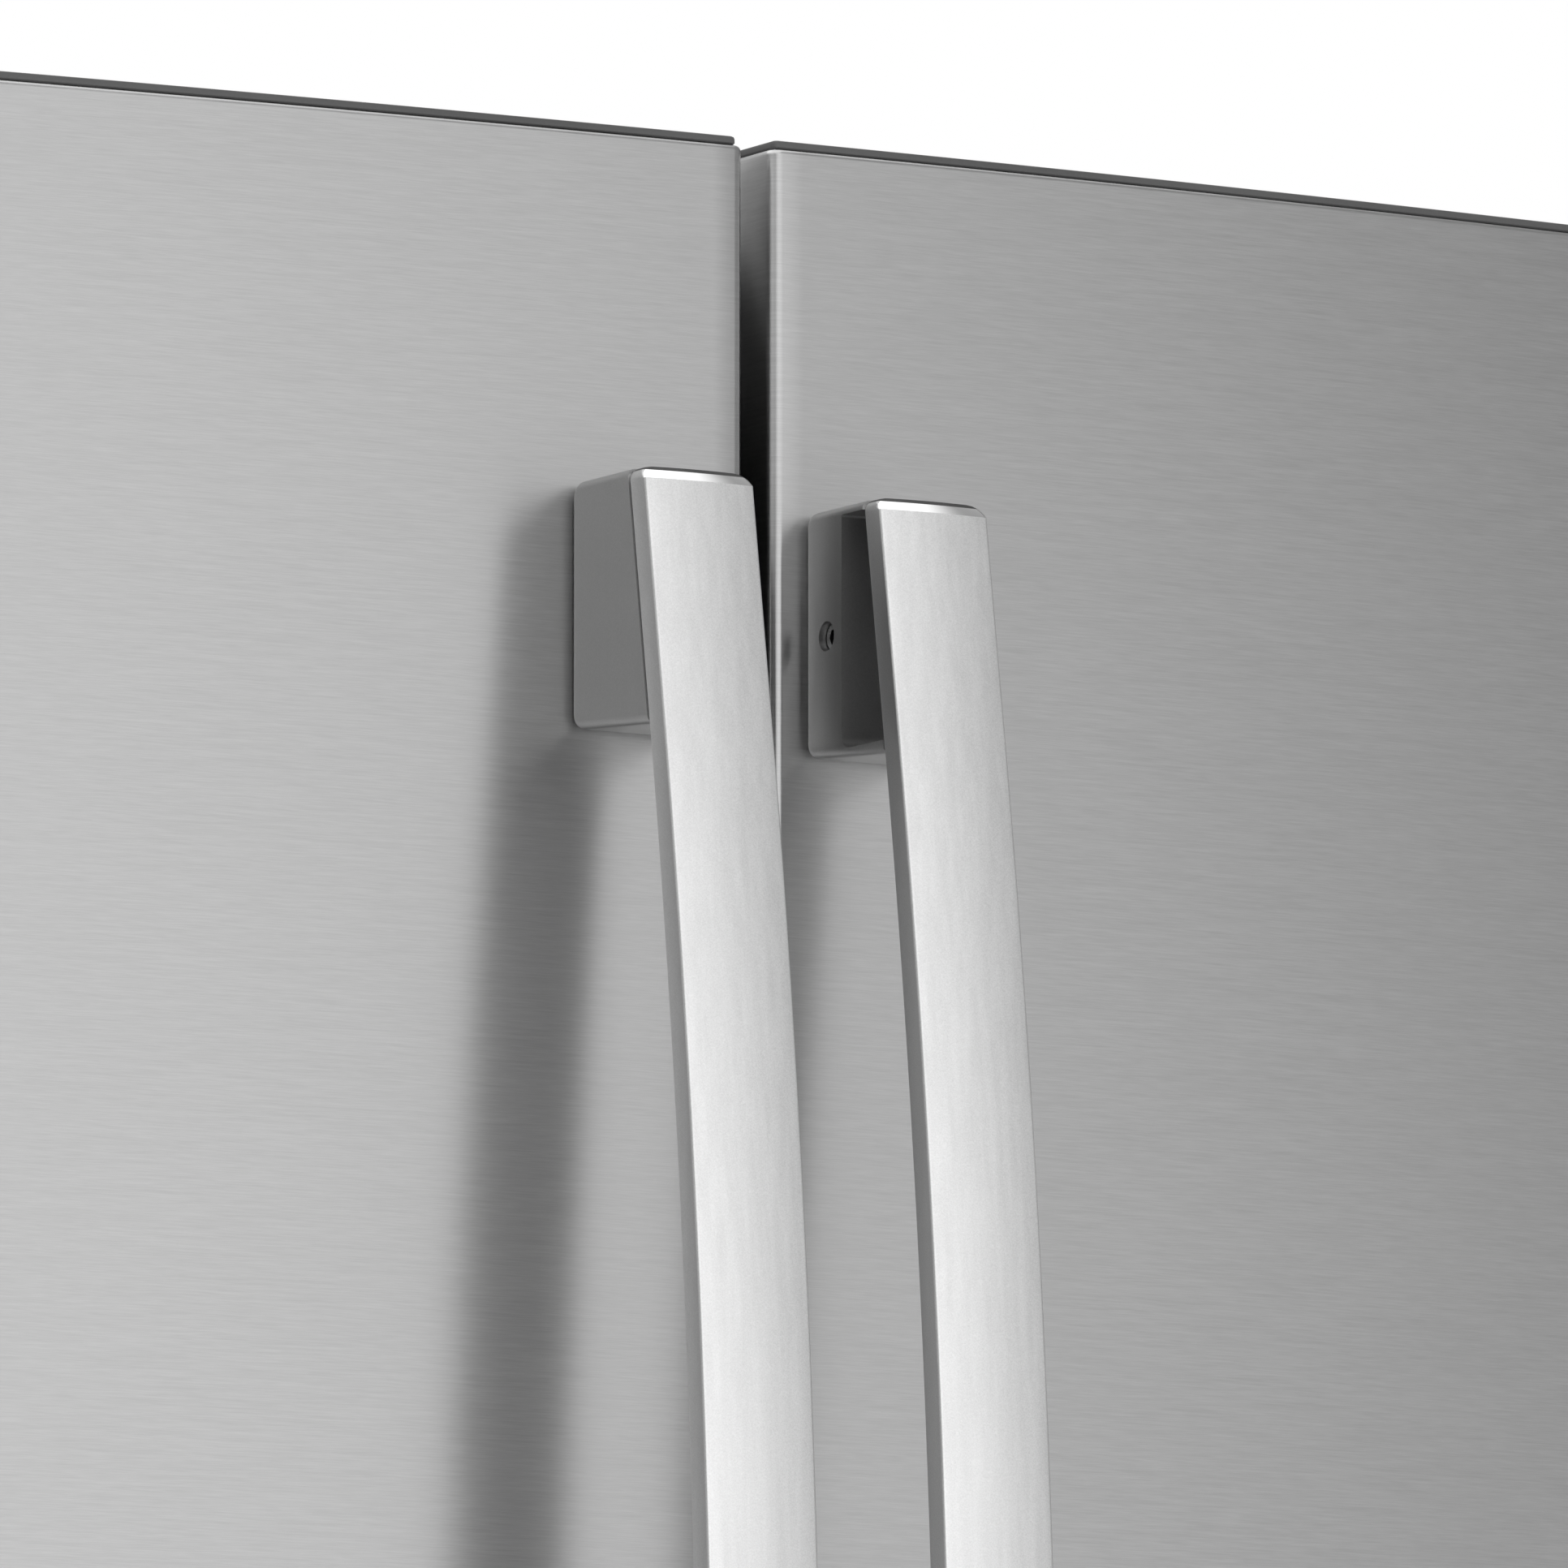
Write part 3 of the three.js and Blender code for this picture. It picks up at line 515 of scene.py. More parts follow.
def carve(mesh, tools):
    """The mesh with each tool mesh cut out of it, without materials."""
    base = new_object("carved", mesh)
    cutters = [new_object("cutter", tool) for tool in tools]
    for cutter in cutters:
        modifier = base.modifiers.new("cut", "BOOLEAN")
        modifier.operation = "DIFFERENCE"
        modifier.solver = "EXACT"
        modifier.object = cutter
    bpy.context.view_layer.update()
    evaluated = base.evaluated_get(bpy.context.evaluated_depsgraph_get())
    result = bpy.data.meshes.new_from_object(evaluated)
    result.materials.clear()
    for leftover in [base, *cutters]:
        bpy.data.objects.remove(leftover)
    return result


class Handle:
    """One handle. place takes its own space to the frame's, foot gives the y of a post's foot."""

    def __init__(self, name, body, place, half, open_side, foot):
        self.name = name
        self.body = body
        self.place = place
        self.half = half
        self.open_side = open_side
        self.foot = foot

    def standoff(self, from_end):
        if from_end <= HANDLE_END:
            return HANDLE_STANDOFF + HANDLE_SLOPE * from_end
        half_chord = self.half - HANDLE_END
        radius = half_chord / math.sin(math.atan(HANDLE_SLOPE))
        from_middle = self.half - from_end
        rise = math.sqrt(radius**2 - from_middle**2) - math.sqrt(radius**2 - half_chord**2)
        return HANDLE_STANDOFF + HANDLE_SLOPE * HANDLE_END + rise


BAR_FRONT_RADIUS = 0.9
BAR_BACK_RADIUS = 1.2
BAR_CROWN = 0.85
CROWN_POINTS = 8
BAR_ROUND_STEPS = 5
POLISHED_LENGTH = 3.4
CHAMFER_SLOPE = 0.8
# Faces this near each end of the bar take black plastic: a black band drawn for the dark line along the top
# edge of the polished end.
BLACK_END_BAND = 1.0
END_CORNER_RADIUS = 3.6
# Faces this close to the bar's side take the darker satin copy: painted shade.
PAINTED_SHADE_SIDE_STRIP = 0.35


def bar_section(half_width, front, back):
    """One closed ring of (x, y) points round the bar, y < 0 at the front."""
    front_radius = min(BAR_FRONT_RADIUS, (back - front) * 0.45)
    back_radius = min(BAR_BACK_RADIUS, (back - front) * 0.45)
    ring = []
    flat = half_width - front_radius
    for i in range(CROWN_POINTS + 1):
        t = -1 + 2 * i / CROWN_POINTS
        ring.append((flat * t, front + BAR_CROWN * t * t))
    for turn in quarter(BAR_ROUND_STEPS)[1:]:
        rounding = front_radius * (1 - math.cos(turn))
        ring.append((flat + front_radius * math.sin(turn), front + BAR_CROWN + rounding))
    flat = half_width - back_radius
    for turn in quarter(BAR_ROUND_STEPS):
        ring.append((flat + back_radius * math.cos(turn), back - back_radius * (1 - math.sin(turn))))
    return ring + [(-x, y) for x, y in reversed(ring[CROWN_POINTS + 1:])]


def bar_stations(handle):
    """(z, distance from the nearer end) from the lower end to the upper."""
    length = 2 * handle.half
    end_length = 8
    near_end = [0, 0.25, 0.6, 1.0, 1.5, 2.0, 2.5, 3.0, 3.4, 3.6, end_length]
    middle_steps = 56
    middle = [end_length + (length - 2 * end_length) * i / middle_steps for i in range(1, middle_steps)]
    distances = near_end + middle + [length - value for value in reversed(near_end)]
    return [(d - handle.half, min(d, length - d)) for d in distances]


def make_bar(handle, node, face_finish):
    rings = []
    stations = bar_stations(handle)
    for z, from_end in stations:
        cut_corner = max(END_CORNER_RADIUS - from_end, 0)
        narrow = END_CORNER_RADIUS - math.sqrt(max(END_CORNER_RADIUS**2 - cut_corner**2, 0))
        chamfer = max(POLISHED_LENGTH - from_end, 0) * CHAMFER_SLOPE
        crest = -handle.standoff(from_end)
        ring = bar_section(HANDLE_WIDTH / 2 - narrow, crest + chamfer, crest + HANDLE_THICKNESS)
        rings.append([handle.place @ Vector((x, y, z)) for x, y in ring])
    section = bar_section(HANDLE_WIDTH / 2, 0, HANDLE_THICKNESS)
    width = len(section)
    face, polished, black_end_band, side = range(4)
    finishes = []
    for (_, here), (_, beyond) in zip(stations, stations[1:]):
        reach = max(here, beyond) - 1e-3
        for i in range(width):
            middle_x = abs(section[i][0] + section[(i + 1) % width][0]) / 2
            in_front = i <= CROWN_POINTS + BAR_ROUND_STEPS or i >= width - BAR_ROUND_STEPS
            # The first millimetre at each end, and the end faces, take black plastic as a black band.
            if reach <= BLACK_END_BAND:
                finishes.append(black_end_band)
            elif reach <= POLISHED_LENGTH and in_front:
                finishes.append(polished)
            else:
                # The side faces get the darker satin copy: painted shade on the bar's sides.
                finishes.append(side if middle_x > HANDLE_WIDTH / 2 - PAINTED_SHADE_SIDE_STRIP else face)
    mesh = to_mesh(solid(rings), handle.name + "_bar")
    for material in (face_finish, POLISHED, BLACK, BAR_SIDE_PAINTED_SHADE):
        mesh.materials.append(material)
    mesh.polygons.foreach_set("material_index", finishes + [black_end_band, black_end_band])
    add_object(handle.name + "_bar_smooth", mesh, handle.body, "satin_handle", node, smooth_angle=25)


POST_LENGTH = box_mm("left_handle_upper_post")[1].z - box_mm("left_handle_upper_post")[0].z
POST_SIDE_RADIUS = 2.4
POST_CORNER_RADIUS = 4
TIP_WALL = 3.5
TOP_WALL = 2.5
POST_UNDERCUT = 3
TOUCH = 0.3


def post_solid(handle):
    """The post before it is hollowed, with its rim rounded except along the bar."""
    half = handle.half
    wide = HANDLE_WIDTH / 2
    bar_back = [HANDLE_THICKNESS + TOUCH - handle.standoff(from_end) for from_end in (0, POST_LENGTH)]
    bm = prism(rounded([
        (handle.foot(0), half, POST_CORNER_RADIUS),
        (bar_back[0], half, 0),
        (bar_back[1], half - POST_LENGTH, 0),
        (handle.foot(POST_LENGTH), half - POST_LENGTH + POST_UNDERCUT, POST_CORNER_RADIUS),
    ]), -wide, wide)
    bar_line = {round(y, 3) for y in bar_back}
    rim = []
    for edge in bm.edges:
        a, b = (vert.co for vert in edge.verts)
        on_side = abs(a.x - b.x) < 1e-4 and abs(abs(a.x) - wide) < 1e-4
        if on_side and {round(a.y, 3), round(b.y, 3)} != bar_line:
            rim.append(edge)
    bmesh.ops.bevel(bm, geom=rim, offset=POST_SIDE_RADIUS, segments=5, profile=0.5, affect="EDGES",
                    clamp_overlap=True)
    return to_mesh(bm, "post")


def make_post(handle, node, end):
    """end is 1 at the handle's upper (or right-hand) end and -1 at the other."""
    half = handle.half
    low = half - POST_LENGTH
    side = handle.open_side
    wide = HANDLE_WIDTH / 2
    beyond_bar = -POST_BLOCK - 40

    def tool(outline, near, far):
        return to_mesh(prism(outline, *sorted((side * near, side * far))), "tool")

    def at_screw(radius, steps=24):
        return circle(-SCREW_FROM_DOOR, half - SCREW_FROM_TOP, radius, steps)

    pocket = rounded([
        (-POST_BLOCK, half - TOP_WALL, 0.8),
        (beyond_bar, half - TOP_WALL, 0),
        (beyond_bar, low + TIP_WALL, 0),
        (-POST_BLOCK, low + TIP_WALL, 4),
    ])
    pocket_floor = POST_WALL - wide
    mesh = carve(post_solid(handle), [
        tool(pocket, pocket_floor, wide + 1),
        tool(at_screw(SCREW_RADIUS), wide - 9, wide + 1),
    ])
    mesh.materials.append(POST)
    mesh.materials.append(POCKET)
    for polygon in mesh.polygons:
        polygon.material_index = int(abs(polygon.center.x - side * pocket_floor) < 0.1)
    place_end = handle.place @ Matrix.Diagonal((1, 1, end, 1))
    mesh.transform(place_end)
    end_word = "upper" if end > 0 else "lower"
    name = f"{handle.name}_post_{end_word}_smooth"
    add_object(name, mesh, handle.body, "satin_handle", node, smooth_angle=28)

    screw = carve(tool(at_screw(SCREW_RADIUS - 0.35), wide - 2.2, wide - 8.6),
                  [tool(at_screw(2.2, 6), wide, wide - 5.5)])
    screw.transform(place_end)
    add_object(f"{handle.name}_set_screw_{end_word}", screw, handle.body, "zinc_steel", None, SCREW_STEEL, 30)


def make_handle(handle, bar_finish, first, last):
    make_bar(handle, f"{handle.name}_bar", bar_finish)
    make_post(handle, f"{handle.name}_{first}_post", 1)
    make_post(handle, f"{handle.name}_{last}_post", -1)


def door_handle(word):
    low, high = box_mm(f"{word}_handle_bar")
    middle = (low + high) / 2
    place = Matrix.Translation((middle.x, FACE_Y, middle.z))
    side = 1 if word == "left" else -1
    half = (high.z - low.z) / 2
    handle = Handle(f"{word}_handle", f"{word}_door", place, half, side, lambda from_end: -TOUCH)
    make_handle(handle, SATIN, "upper", "lower")


def drawer_handle():
    low, high = box_mm("freezer_handle_bar")
    place = Matrix.Translation((0, FACE_Y, (low.z + high.z) / 2)) @ Matrix.Rotation(math.pi / 2, 4, "Y")
    half = (high.x - low.x) / 2

    def foot(from_end):
        return face_at(half - from_end) - FACE_Y - 2 * TOUCH

    handle = Handle("freezer_handle", "freezer_drawer", place, half, 1, foot)
    make_handle(handle, SATIN_CROSSWISE, "right", "left")


for word in ("left", "right"):
    door_handle(word)
drawer_handle()


# ---- Solids for the other pieces ----

class Bits:
    """Closed solids gathered into one mesh, which becomes one piece."""

    def __init__(self):
        self.bm = bmesh.new()

    def take(self, other):
        bmesh.ops.recalc_face_normals(other, faces=other.faces)
        mesh = to_mesh(other, "bit")
        self.bm.from_mesh(mesh)
        bpy.data.meshes.remove(mesh)
        return self

    def box(self, low, high, radius=0.0, segments=2):
        low, high = Vector(low), Vector(high)
        middle, size = (low + high) / 2, high - low
        bm = bmesh.new()
        bmesh.ops.create_cube(bm, size=1)
        for vert in bm.verts:
            vert.co = vert.co * size + middle
        radius = min(radius, min(size) * 0.45)
        if radius > 0:
            bmesh.ops.bevel(bm, geom=bm.edges[:], offset=radius, segments=segments, profile=0.5,
                            affect="EDGES")
        return self.take(bm)

    def lathe(self, base, axis, profile, sides=32):
        """Turns a closed profile of (radius, distance along the axis) points round the axis."""
        turn = Vector(axis).to_track_quat("Z", "Y").to_matrix()
        return self.take(solid([
            [Vector(base) + turn @ Vector((x, y, along)) for x, y in circle(0, 0, radius, sides)]
            for radius, along in profile
        ]))

    def rod(self, start, end, radius, sides=24, chamfer=0.0):
        start, end = Vector(start), Vector(end)
        length = (end - start).length
        edge = min(chamfer, radius * 0.5, length * 0.4)
        profile = [(radius, 0), (radius, length)]
        if edge > 0:
            profile = [(radius - edge, 0), (radius, edge), (radius, length - edge), (radius - edge, length)]
        return self.lathe(start, end - start, profile, sides)

    def tube(self, path, radius, sides=12):
        """A round tube along a path."""
        path = [Vector(point) for point in path]
        rings = []
        side = None
        for i, point in enumerate(path):
            ahead = path[min(i + 1, len(path) - 1)] - path[max(i - 1, 0)]
            ahead.normalize()
            if side is None:
                side = ahead.orthogonal()
            side = (side - ahead * side.dot(ahead)).normalized()
            across = ahead.cross(side)
            rings.append([point + side * u + across * v for u, v in circle(0, 0, radius, sides)])
        return self.take(solid(rings))

    def screw(self, at, axis, radius, height):
        """A flanged hexagon head that stands on a surface."""
        at, axis = Vector(at), Vector(axis)
        flange = 0.3 * height
        self.lathe(at, axis, [(radius, 0), (radius, 0.6 * flange), (radius * 0.8, flange)], 20)
        return self.rod(at + axis * flange * 0.9, at + axis * height, radius * 0.68, 6, 0.25)

    def tub(self, low, high, corner, taper, wall, rim):
        """An open box with rounded corners and an outside rim, that narrows downwards."""
        low, high = Vector(low), Vector(high)

        def ring(inset, z):
            loop = []
            for sx, sy, start in ((1, -1, -90), (1, 1, 0), (-1, 1, 90), (-1, -1, 180)):
                radius = max(corner - max(inset - taper, 0), 1)
                cx = (high.x if sx > 0 else low.x) - sx * (inset + radius)
                cy = (high.y if sy > 0 else low.y) - sy * (inset + radius)
                for turn in quarter(6):
                    angle = math.radians(start) + turn
                    loop.append((cx + radius * math.cos(angle), cy + radius * math.sin(angle), z))
            return loop

        round_off = 4
        return self.take(solid([ring(inset, z) for inset, z in (
            (taper + round_off + rim, low.z),
            (taper + round_off * 0.3 + rim, low.z + round_off * 0.3),
            (taper * 0.95 + rim, low.z + round_off),
            (rim, high.z - 3.5),
            (0, high.z - 3.2),
            (0, high.z),
            (rim + wall, high.z),
            (taper * 0.95 + rim + wall, low.z + round_off + wall),
            (taper + round_off + rim + wall, low.z + wall),
        )]))

    def finish(self, name, body, slot, replaced=None, material=None):
        self.bm.transform(Matrix.Scale(MM, 4))
        return add_piece(name, to_mesh(self.bm, name), body, slot, replaced, material)


# ---- Door furniture ----

def door_cap(node, body):
    """The dark strip along the top of a door: a little behind the steel face, with a rounded edge."""
    low, high = box_mm(node)
    setback = 1.5
    round_off = 0.8
    levels = [
        (setback + 0.4, low.z),
        (setback, low.z + 0.4),
        (setback, high.z - round_off),
        (setback + 0.3 * round_off, high.z - 0.3 * round_off),
        (setback + round_off, high.z),
    ]
    add_rings(node + "_cap", door_rings(node, levels, DOOR_BACK_Y), body, "dark_trim", node)


def door_foot(node, body):
    """A plastic end cap that closes the bottom of a door between the turned-in sheet edges."""
    low = box_mm(node)[0]
    levels = [(4.5, low.z + 0.05), (4.5, low.z + 0.9)]
    add_rings(node + "_foot", door_rings(node, levels, DOOR_BACK_Y - 3), body, "dark_trim")


# (distance inwards from the rim, part of the depth) round a gasket's cross-section.
GASKET_PROFILE = [
    (2, 0.0), (14, 0.0), (15.6, 0.08), (16, 0.2), (15, 0.3), (11, 0.36), (10.4, 0.44), (13.5, 0.52),
    (15.4, 0.6), (15.4, 0.68), (12, 0.76), (12.5, 0.84), (16, 0.9), (16, 1.0), (0, 1.0), (0, 0.9),
    (4, 0.84), (4.5, 0.76), (1, 0.68), (1, 0.6), (3, 0.52), (5.6, 0.44), (5, 0.36), (1, 0.3), (0, 0.2),
    (0.4, 0.08),
]


def bellows(node, body):
    """A magnetic gasket: foot against the door, two folds, and the magnet bulb against the cabinet."""
    low, high = box_mm(node)
    depth = high.y - low.y
    rings = []
    for sx, sz in ((-1, -1), (1, -1), (1, 1), (-1, 1), (-1, -1)):
        corner_x = high.x if sx > 0 else low.x
        corner_z = high.z if sz > 0 else low.z
        rings.append([(corner_x - sx * inward, high.y - part * depth, corner_z - sz * inward)
                      for inward, part in GASKET_PROFILE])
    add_rings(node + "_bellows", rings, body, "gasket_rubber", node, 50, capped=False)


def door_bin(node, body):
    low, high = box_mm(node)
    Bits().tub(low, high, 14, 5, 2.4, 2).finish(node + "_tray", body, "clear_plastic", node)
    trim = Bits()
    trim.box((low.x + 18, high.y - 2.6, high.z - 26), (high.x - 18, high.y - 0.4, high.z - 6), 1, 3)
    for x in (low.x + 1, high.x - 5):
        trim.box((x, low.y + 18, high.z - 40), (x + 4, low.y + 34, high.z - 4), 1)
    trim.finish(node + "_trim", body, "white_liner")


def dairy_cover():
    low, high = box_mm("dairy_lid")
    pivot_y, pivot_z = low.y + 4, high.z - 4
    wall = 2.4
    inner, outer = low.x + 8, high.x - 8
    bend = 14
    middle_y, middle_z = high.y - bend, pivot_z + wall / 2 - bend
    outside = [(pivot_y, pivot_z + wall / 2)]
    inside = [(pivot_y, pivot_z - wall / 2)]
    for turn in quarter(8):
        outside.append((middle_y + bend * math.sin(turn), middle_z + bend * math.cos(turn)))
        inside.append((middle_y + (bend - wall) * math.sin(turn), middle_z + (bend - wall) * math.cos(turn)))
    outside.append((high.y, low.z))
    inside.append((high.y - wall, low.z))
    shell = to_mesh(prism(outside + inside[::-1], inner, outer), "lid")
    add_object("dairy_lid_shell", shell, "dairy_door", "clear_plastic", "dairy_lid")
    fittings = Bits()
    fittings.rod((low.x, pivot_y, pivot_z), (high.x, pivot_y, pivot_z), 2.5, 16, 0.6)
    fittings.rod((inner, pivot_y, pivot_z), (outer, pivot_y, pivot_z), 4, 20, 0.8)
    middle = (low.x + high.x) / 2
    near, far = high.y - wall - 6, high.y - wall + 0.2
    fittings.box((middle - 45, near, low.z + 3), (middle + 45, far, low.z + 7), 1.2, 3)
    fittings.finish("dairy_lid_hinge", "dairy_door", "white_liner", "dairy_lid")


def mullion_cover():
    low, high = box_mm("mullion_flipper")
    bits = Bits()
    bits.box((low.x, low.y, low.z + 6.5), (high.x - 0.3, high.y, high.z - 6.5), 3, 3)
    for end, inner in ((low.z, low.z + 8), (high.z, high.z - 8)):
        bits.rod((low.x + 8.5, low.y + 5, end), (low.x + 8.5, low.y + 5, inner), 3, 16, 0.5)
    bits.finish("mullion_body", "mullion", "white_liner", "mullion_flipper")
    strip = Bits().box((high.x - 0.6, low.y + 5, low.z + 20), (high.x, high.y - 5, high.z - 20), 0.25)
    strip.finish("mullion_heater_strip", "mullion", "cabinet_paint")


for word in ("left_door", "right_door"):
    door_cap(f"{word}_trim", word)
    door_foot(f"{word}_skin", word)
    bellows(f"{word}_gasket", word)
door_foot("freezer_drawer_skin", "freezer_drawer")
bellows("freezer_gasket", "freezer_drawer")
door_bin("left_door_bin_1", "left_door")
door_bin("dairy_bin", "left_door")
door_bin("right_door_bin_1", "right_door")
door_bin("right_door_bin_2", "right_door")
dairy_cover()
mullion_cover()


# ---- Fresh food compartment ----

def shelf(word):
    node = f"shelf_{word}"
    low, high = box_mm(node)
    top = high.z - 3
    pane = Bits().box((low.x + 3, low.y + 3, top - 5), (high.x - 3, high.y - 2, top), 0.8)
    pane.finish(node + "_pane", "root", "shelf_glass", node)
    rim = Bits()
    rim.box((low.x, low.y, high.z - 17), (high.x, low.y + 7, high.z), 2.2, 3)
    rim.box((low.x, high.y - 6, top - 7), (high.x, high.y, top + 2), 1.2)
    for x in (low.x, high.x - 5):
        rim.box((x, low.y + 2, top - 7), (x + 5, high.y - 2, top + 1), 1.2)
    rim.finish(node + "_frame", "root", "white_liner", node)
    front, under = low.y + 9, top - 7
    outline = [(front, under), (front, top - 12), (high.y - 3, low.z), (high.y, low.z), (high.y, under)]
    arms = Bits()
    for x in (low.x + 9, high.x - 13):
        arms.take(prism(outline, x, x + 3))
    arms.finish(node + "_arms", "root", "zinc_steel", node)


def crisper_top():
    low, high = box_mm("crisper_cover")
    pane = Bits().box((low.x + 3, low.y + 6, high.z - 5), (high.x - 3, high.y - 2, high.z), 0.8)
    pane.finish("crisper_cover_pane", "root", "shelf_glass", "crisper_cover")
    bits = Bits()
    bits.box((low.x, low.y, high.z - 13), (high.x, low.y + 8, high.z), 2, 3)
    bits.box((-3, low.y + 7, low.z), (3, high.y, high.z - 4.5), 0.8)
    bits.box((low.x, high.y - 4, high.z - 8), (high.x, high.y, high.z), 1)
    for middle in (-200, 200):
        bits.box((middle - 45, low.y, high.z - 10.5), (middle + 45, low.y + 1, high.z - 4), 0.4)
    bits.finish("crisper_cover_frame", "root", "white_liner", "crisper_cover")


def crisper(word):
    node = f"crisper_{word}"
    body = f"{word}_crisper"
    low, high = box_mm(node)
    grip = 12
    drawer = Bits().tub((low.x, low.y + grip, low.z), high, 12, 4, 2.6, 1.5)
    drawer.finish(node + "_drawer", body, "clear_plastic", node)
    rail = Bits()
    rail.box((low.x + 60, low.y, high.z - 10), (high.x - 60, low.y + grip + 2, high.z - 6), 1.5, 3)
    rail.box((low.x + 60, low.y, high.z - 20), (high.x - 60, low.y + 3, high.z - 7), 1.2, 3)
    rail.finish(node + "_grip", body, "white_liner", node)


def ceiling_fittings(ceiling):
    """The lamp and the control panel with its keys."""
    front = CABINET_FRONT_Y
    lamp = Bits().box((-170, front + 130, ceiling - 9), (170, front + 210, ceiling), 3.5, 4)
    lamp.finish("ceiling_lamp_lens", "root", "clear_plastic")
    panel = Bits().box((-110, front + 45, ceiling - 7), (110, front + 105, ceiling), 2, 3)
    panel.finish("control_panel", "root", "dark_trim")
    keys = Bits()
    for x in (-76, -38, 0, 38, 76):
        keys.rod((x, front + 75, ceiling - 8.4), (x, front + 75, ceiling - 6.5), 9, 28, 0.8)
    keys.finish("control_keys", "root", "white_liner")


def back_wall_fittings(back):
    """The slotted ladders that carry the shelves, and the louvres of the air duct."""
    ladders = Bits()
    for x in (-385, -14, 14, 385):
        ladders.box((x - 7, back - 3, 1000), (x + 7, back, 1660), 1)
        for i in range(21):
            z = 1020 + 31 * i
            ladders.box((x - 3, back - 4.2, z), (x + 3, back - 2, z + 9), 0.6, 1)
    ladders.finish("shelf_ladders", "root", "zinc_steel")
    louvres = Bits()
    front = box_mm("air_duct_cover")[0].y
    for z in (1080, 1200, 1480, 1600):
        for x in range(-56, 57, 14):
            louvres.box((x - 0.8, front + 0.4, z - 5.5), (x + 0.8, front + 6, z + 5.5), 0.3, 1)
    louvres.finish("air_duct_louvres", "root", "white_liner")


def door_switches(ceiling):
    y = CABINET_FRONT_Y + 20
    switches = Bits()
    for x in (-300, 300):
        switches.rod((x, y, ceiling), (x, y, ceiling - 6), 6, 20, 1)
    switches.finish("door_switches", "root", "black_plastic")


for word in ("left", "right"):
    shelf(word)
    crisper(word)
crisper_top()
LINER_WALL = 2.5
liner_end = box_mm("fresh_food_liner")[1]
ceiling_fittings(liner_end.z - LINER_WALL)
back_wall_fittings(liner_end.y - LINER_WALL)
door_switches(liner_end.z - LINER_WALL)


# ---- Freezer ----

def freezer_tub():
    low, high = box_mm("freezer_basket")
    lip = 14
    runner_bottom, runner_top = 395.3, 398.3
    bits = Bits()
    bits.tub((low.x + lip, low.y, low.z), (high.x - lip, high.y, high.z), 22, 10, 2.8, 3)
    for near, far in ((low.x, low.x + lip + 12), (high.x - lip - 12, high.x)):
        bits.box((near, low.y + 20, runner_bottom), (far, high.y - 20, runner_top), 1)
    bits.finish("freezer_basket_tub", "freezer_drawer", "white_liner", "freezer_basket")
    ribs = Bits()
    count = 12
    for i in range(count):
        x = low.x + 60 + (high.x - low.x - 120) * i / (count - 1)
        ribs.box((x - 1.5, low.y + 7, low.z + 60), (x + 1.5, low.y + 11, high.z - 30), 0.8, 1)
    ribs.finish("freezer_basket_ribs", "freezer_drawer", "white_liner")


freezer_tub()


# ---- Base and hinges ----

def levelling_leg(word):
    node = f"leveling_leg_{word}"
    low, high = box_mm(node)
    middle = (low + high) / 2
    foot = [(19, 0), (21, 0.6), (22, 2), (22, 9), (21, 11), (18, 12), (9, 12.6), (7, 13), (7, 16)]
    pitch = 1.5
    thread = []
    for i in range(24):
        z = 16.5 + pitch * i
        thread += [(6.1, z), (7, z + pitch / 2)]
    bits = Bits()
    bits.lathe((middle.x, middle.y, 0), (0, 0, 1), foot + thread + [(6.1, 58), (5, high.z)], 28)
    bits.rod((middle.x, middle.y, 38), (middle.x, middle.y, 48), 13, 6, 1)
    bits.finish(node + "_turned", "root", "zinc_steel", node)


def rollers():
    low, high = box_mm("rear_roller_axle")
    middle = (low + high) / 2
    radius = (high.z - low.z) / 2
    axle = Bits().rod((low.x, middle.y, middle.z), (high.x, middle.y, middle.z), 4, 20, 0.8)
    axle.finish("rear_axle_rod", "rear_rollers", "zinc_steel", "rear_roller_axle")
    wheels = Bits()
    half_profile = [(6, 10), (11, 10), (12, 7), (20, 7), (21, 10), (23.5, 10), (25, 8.5)]
    profile = [(r, -x) for r, x in half_profile] + half_profile[::-1]
    half_width = Vector((8.5, 0, 0))
    for x in (-390, 390):
        centre = Vector((x, middle.y, middle.z))
        wheels.lathe(centre, (1, 0, 0), [(r * radius / 25, along) for r, along in profile], 40)
        for v, w in circle(0, 0, 15.5, 5):
            spoke = centre + Vector((0, v, w))
            wheels.rod(spoke - half_width, spoke + half_width, 1.6, 8)
    wheels.finish("rear_wheels", "rear_rollers", "black_plastic", "rear_roller_axle")


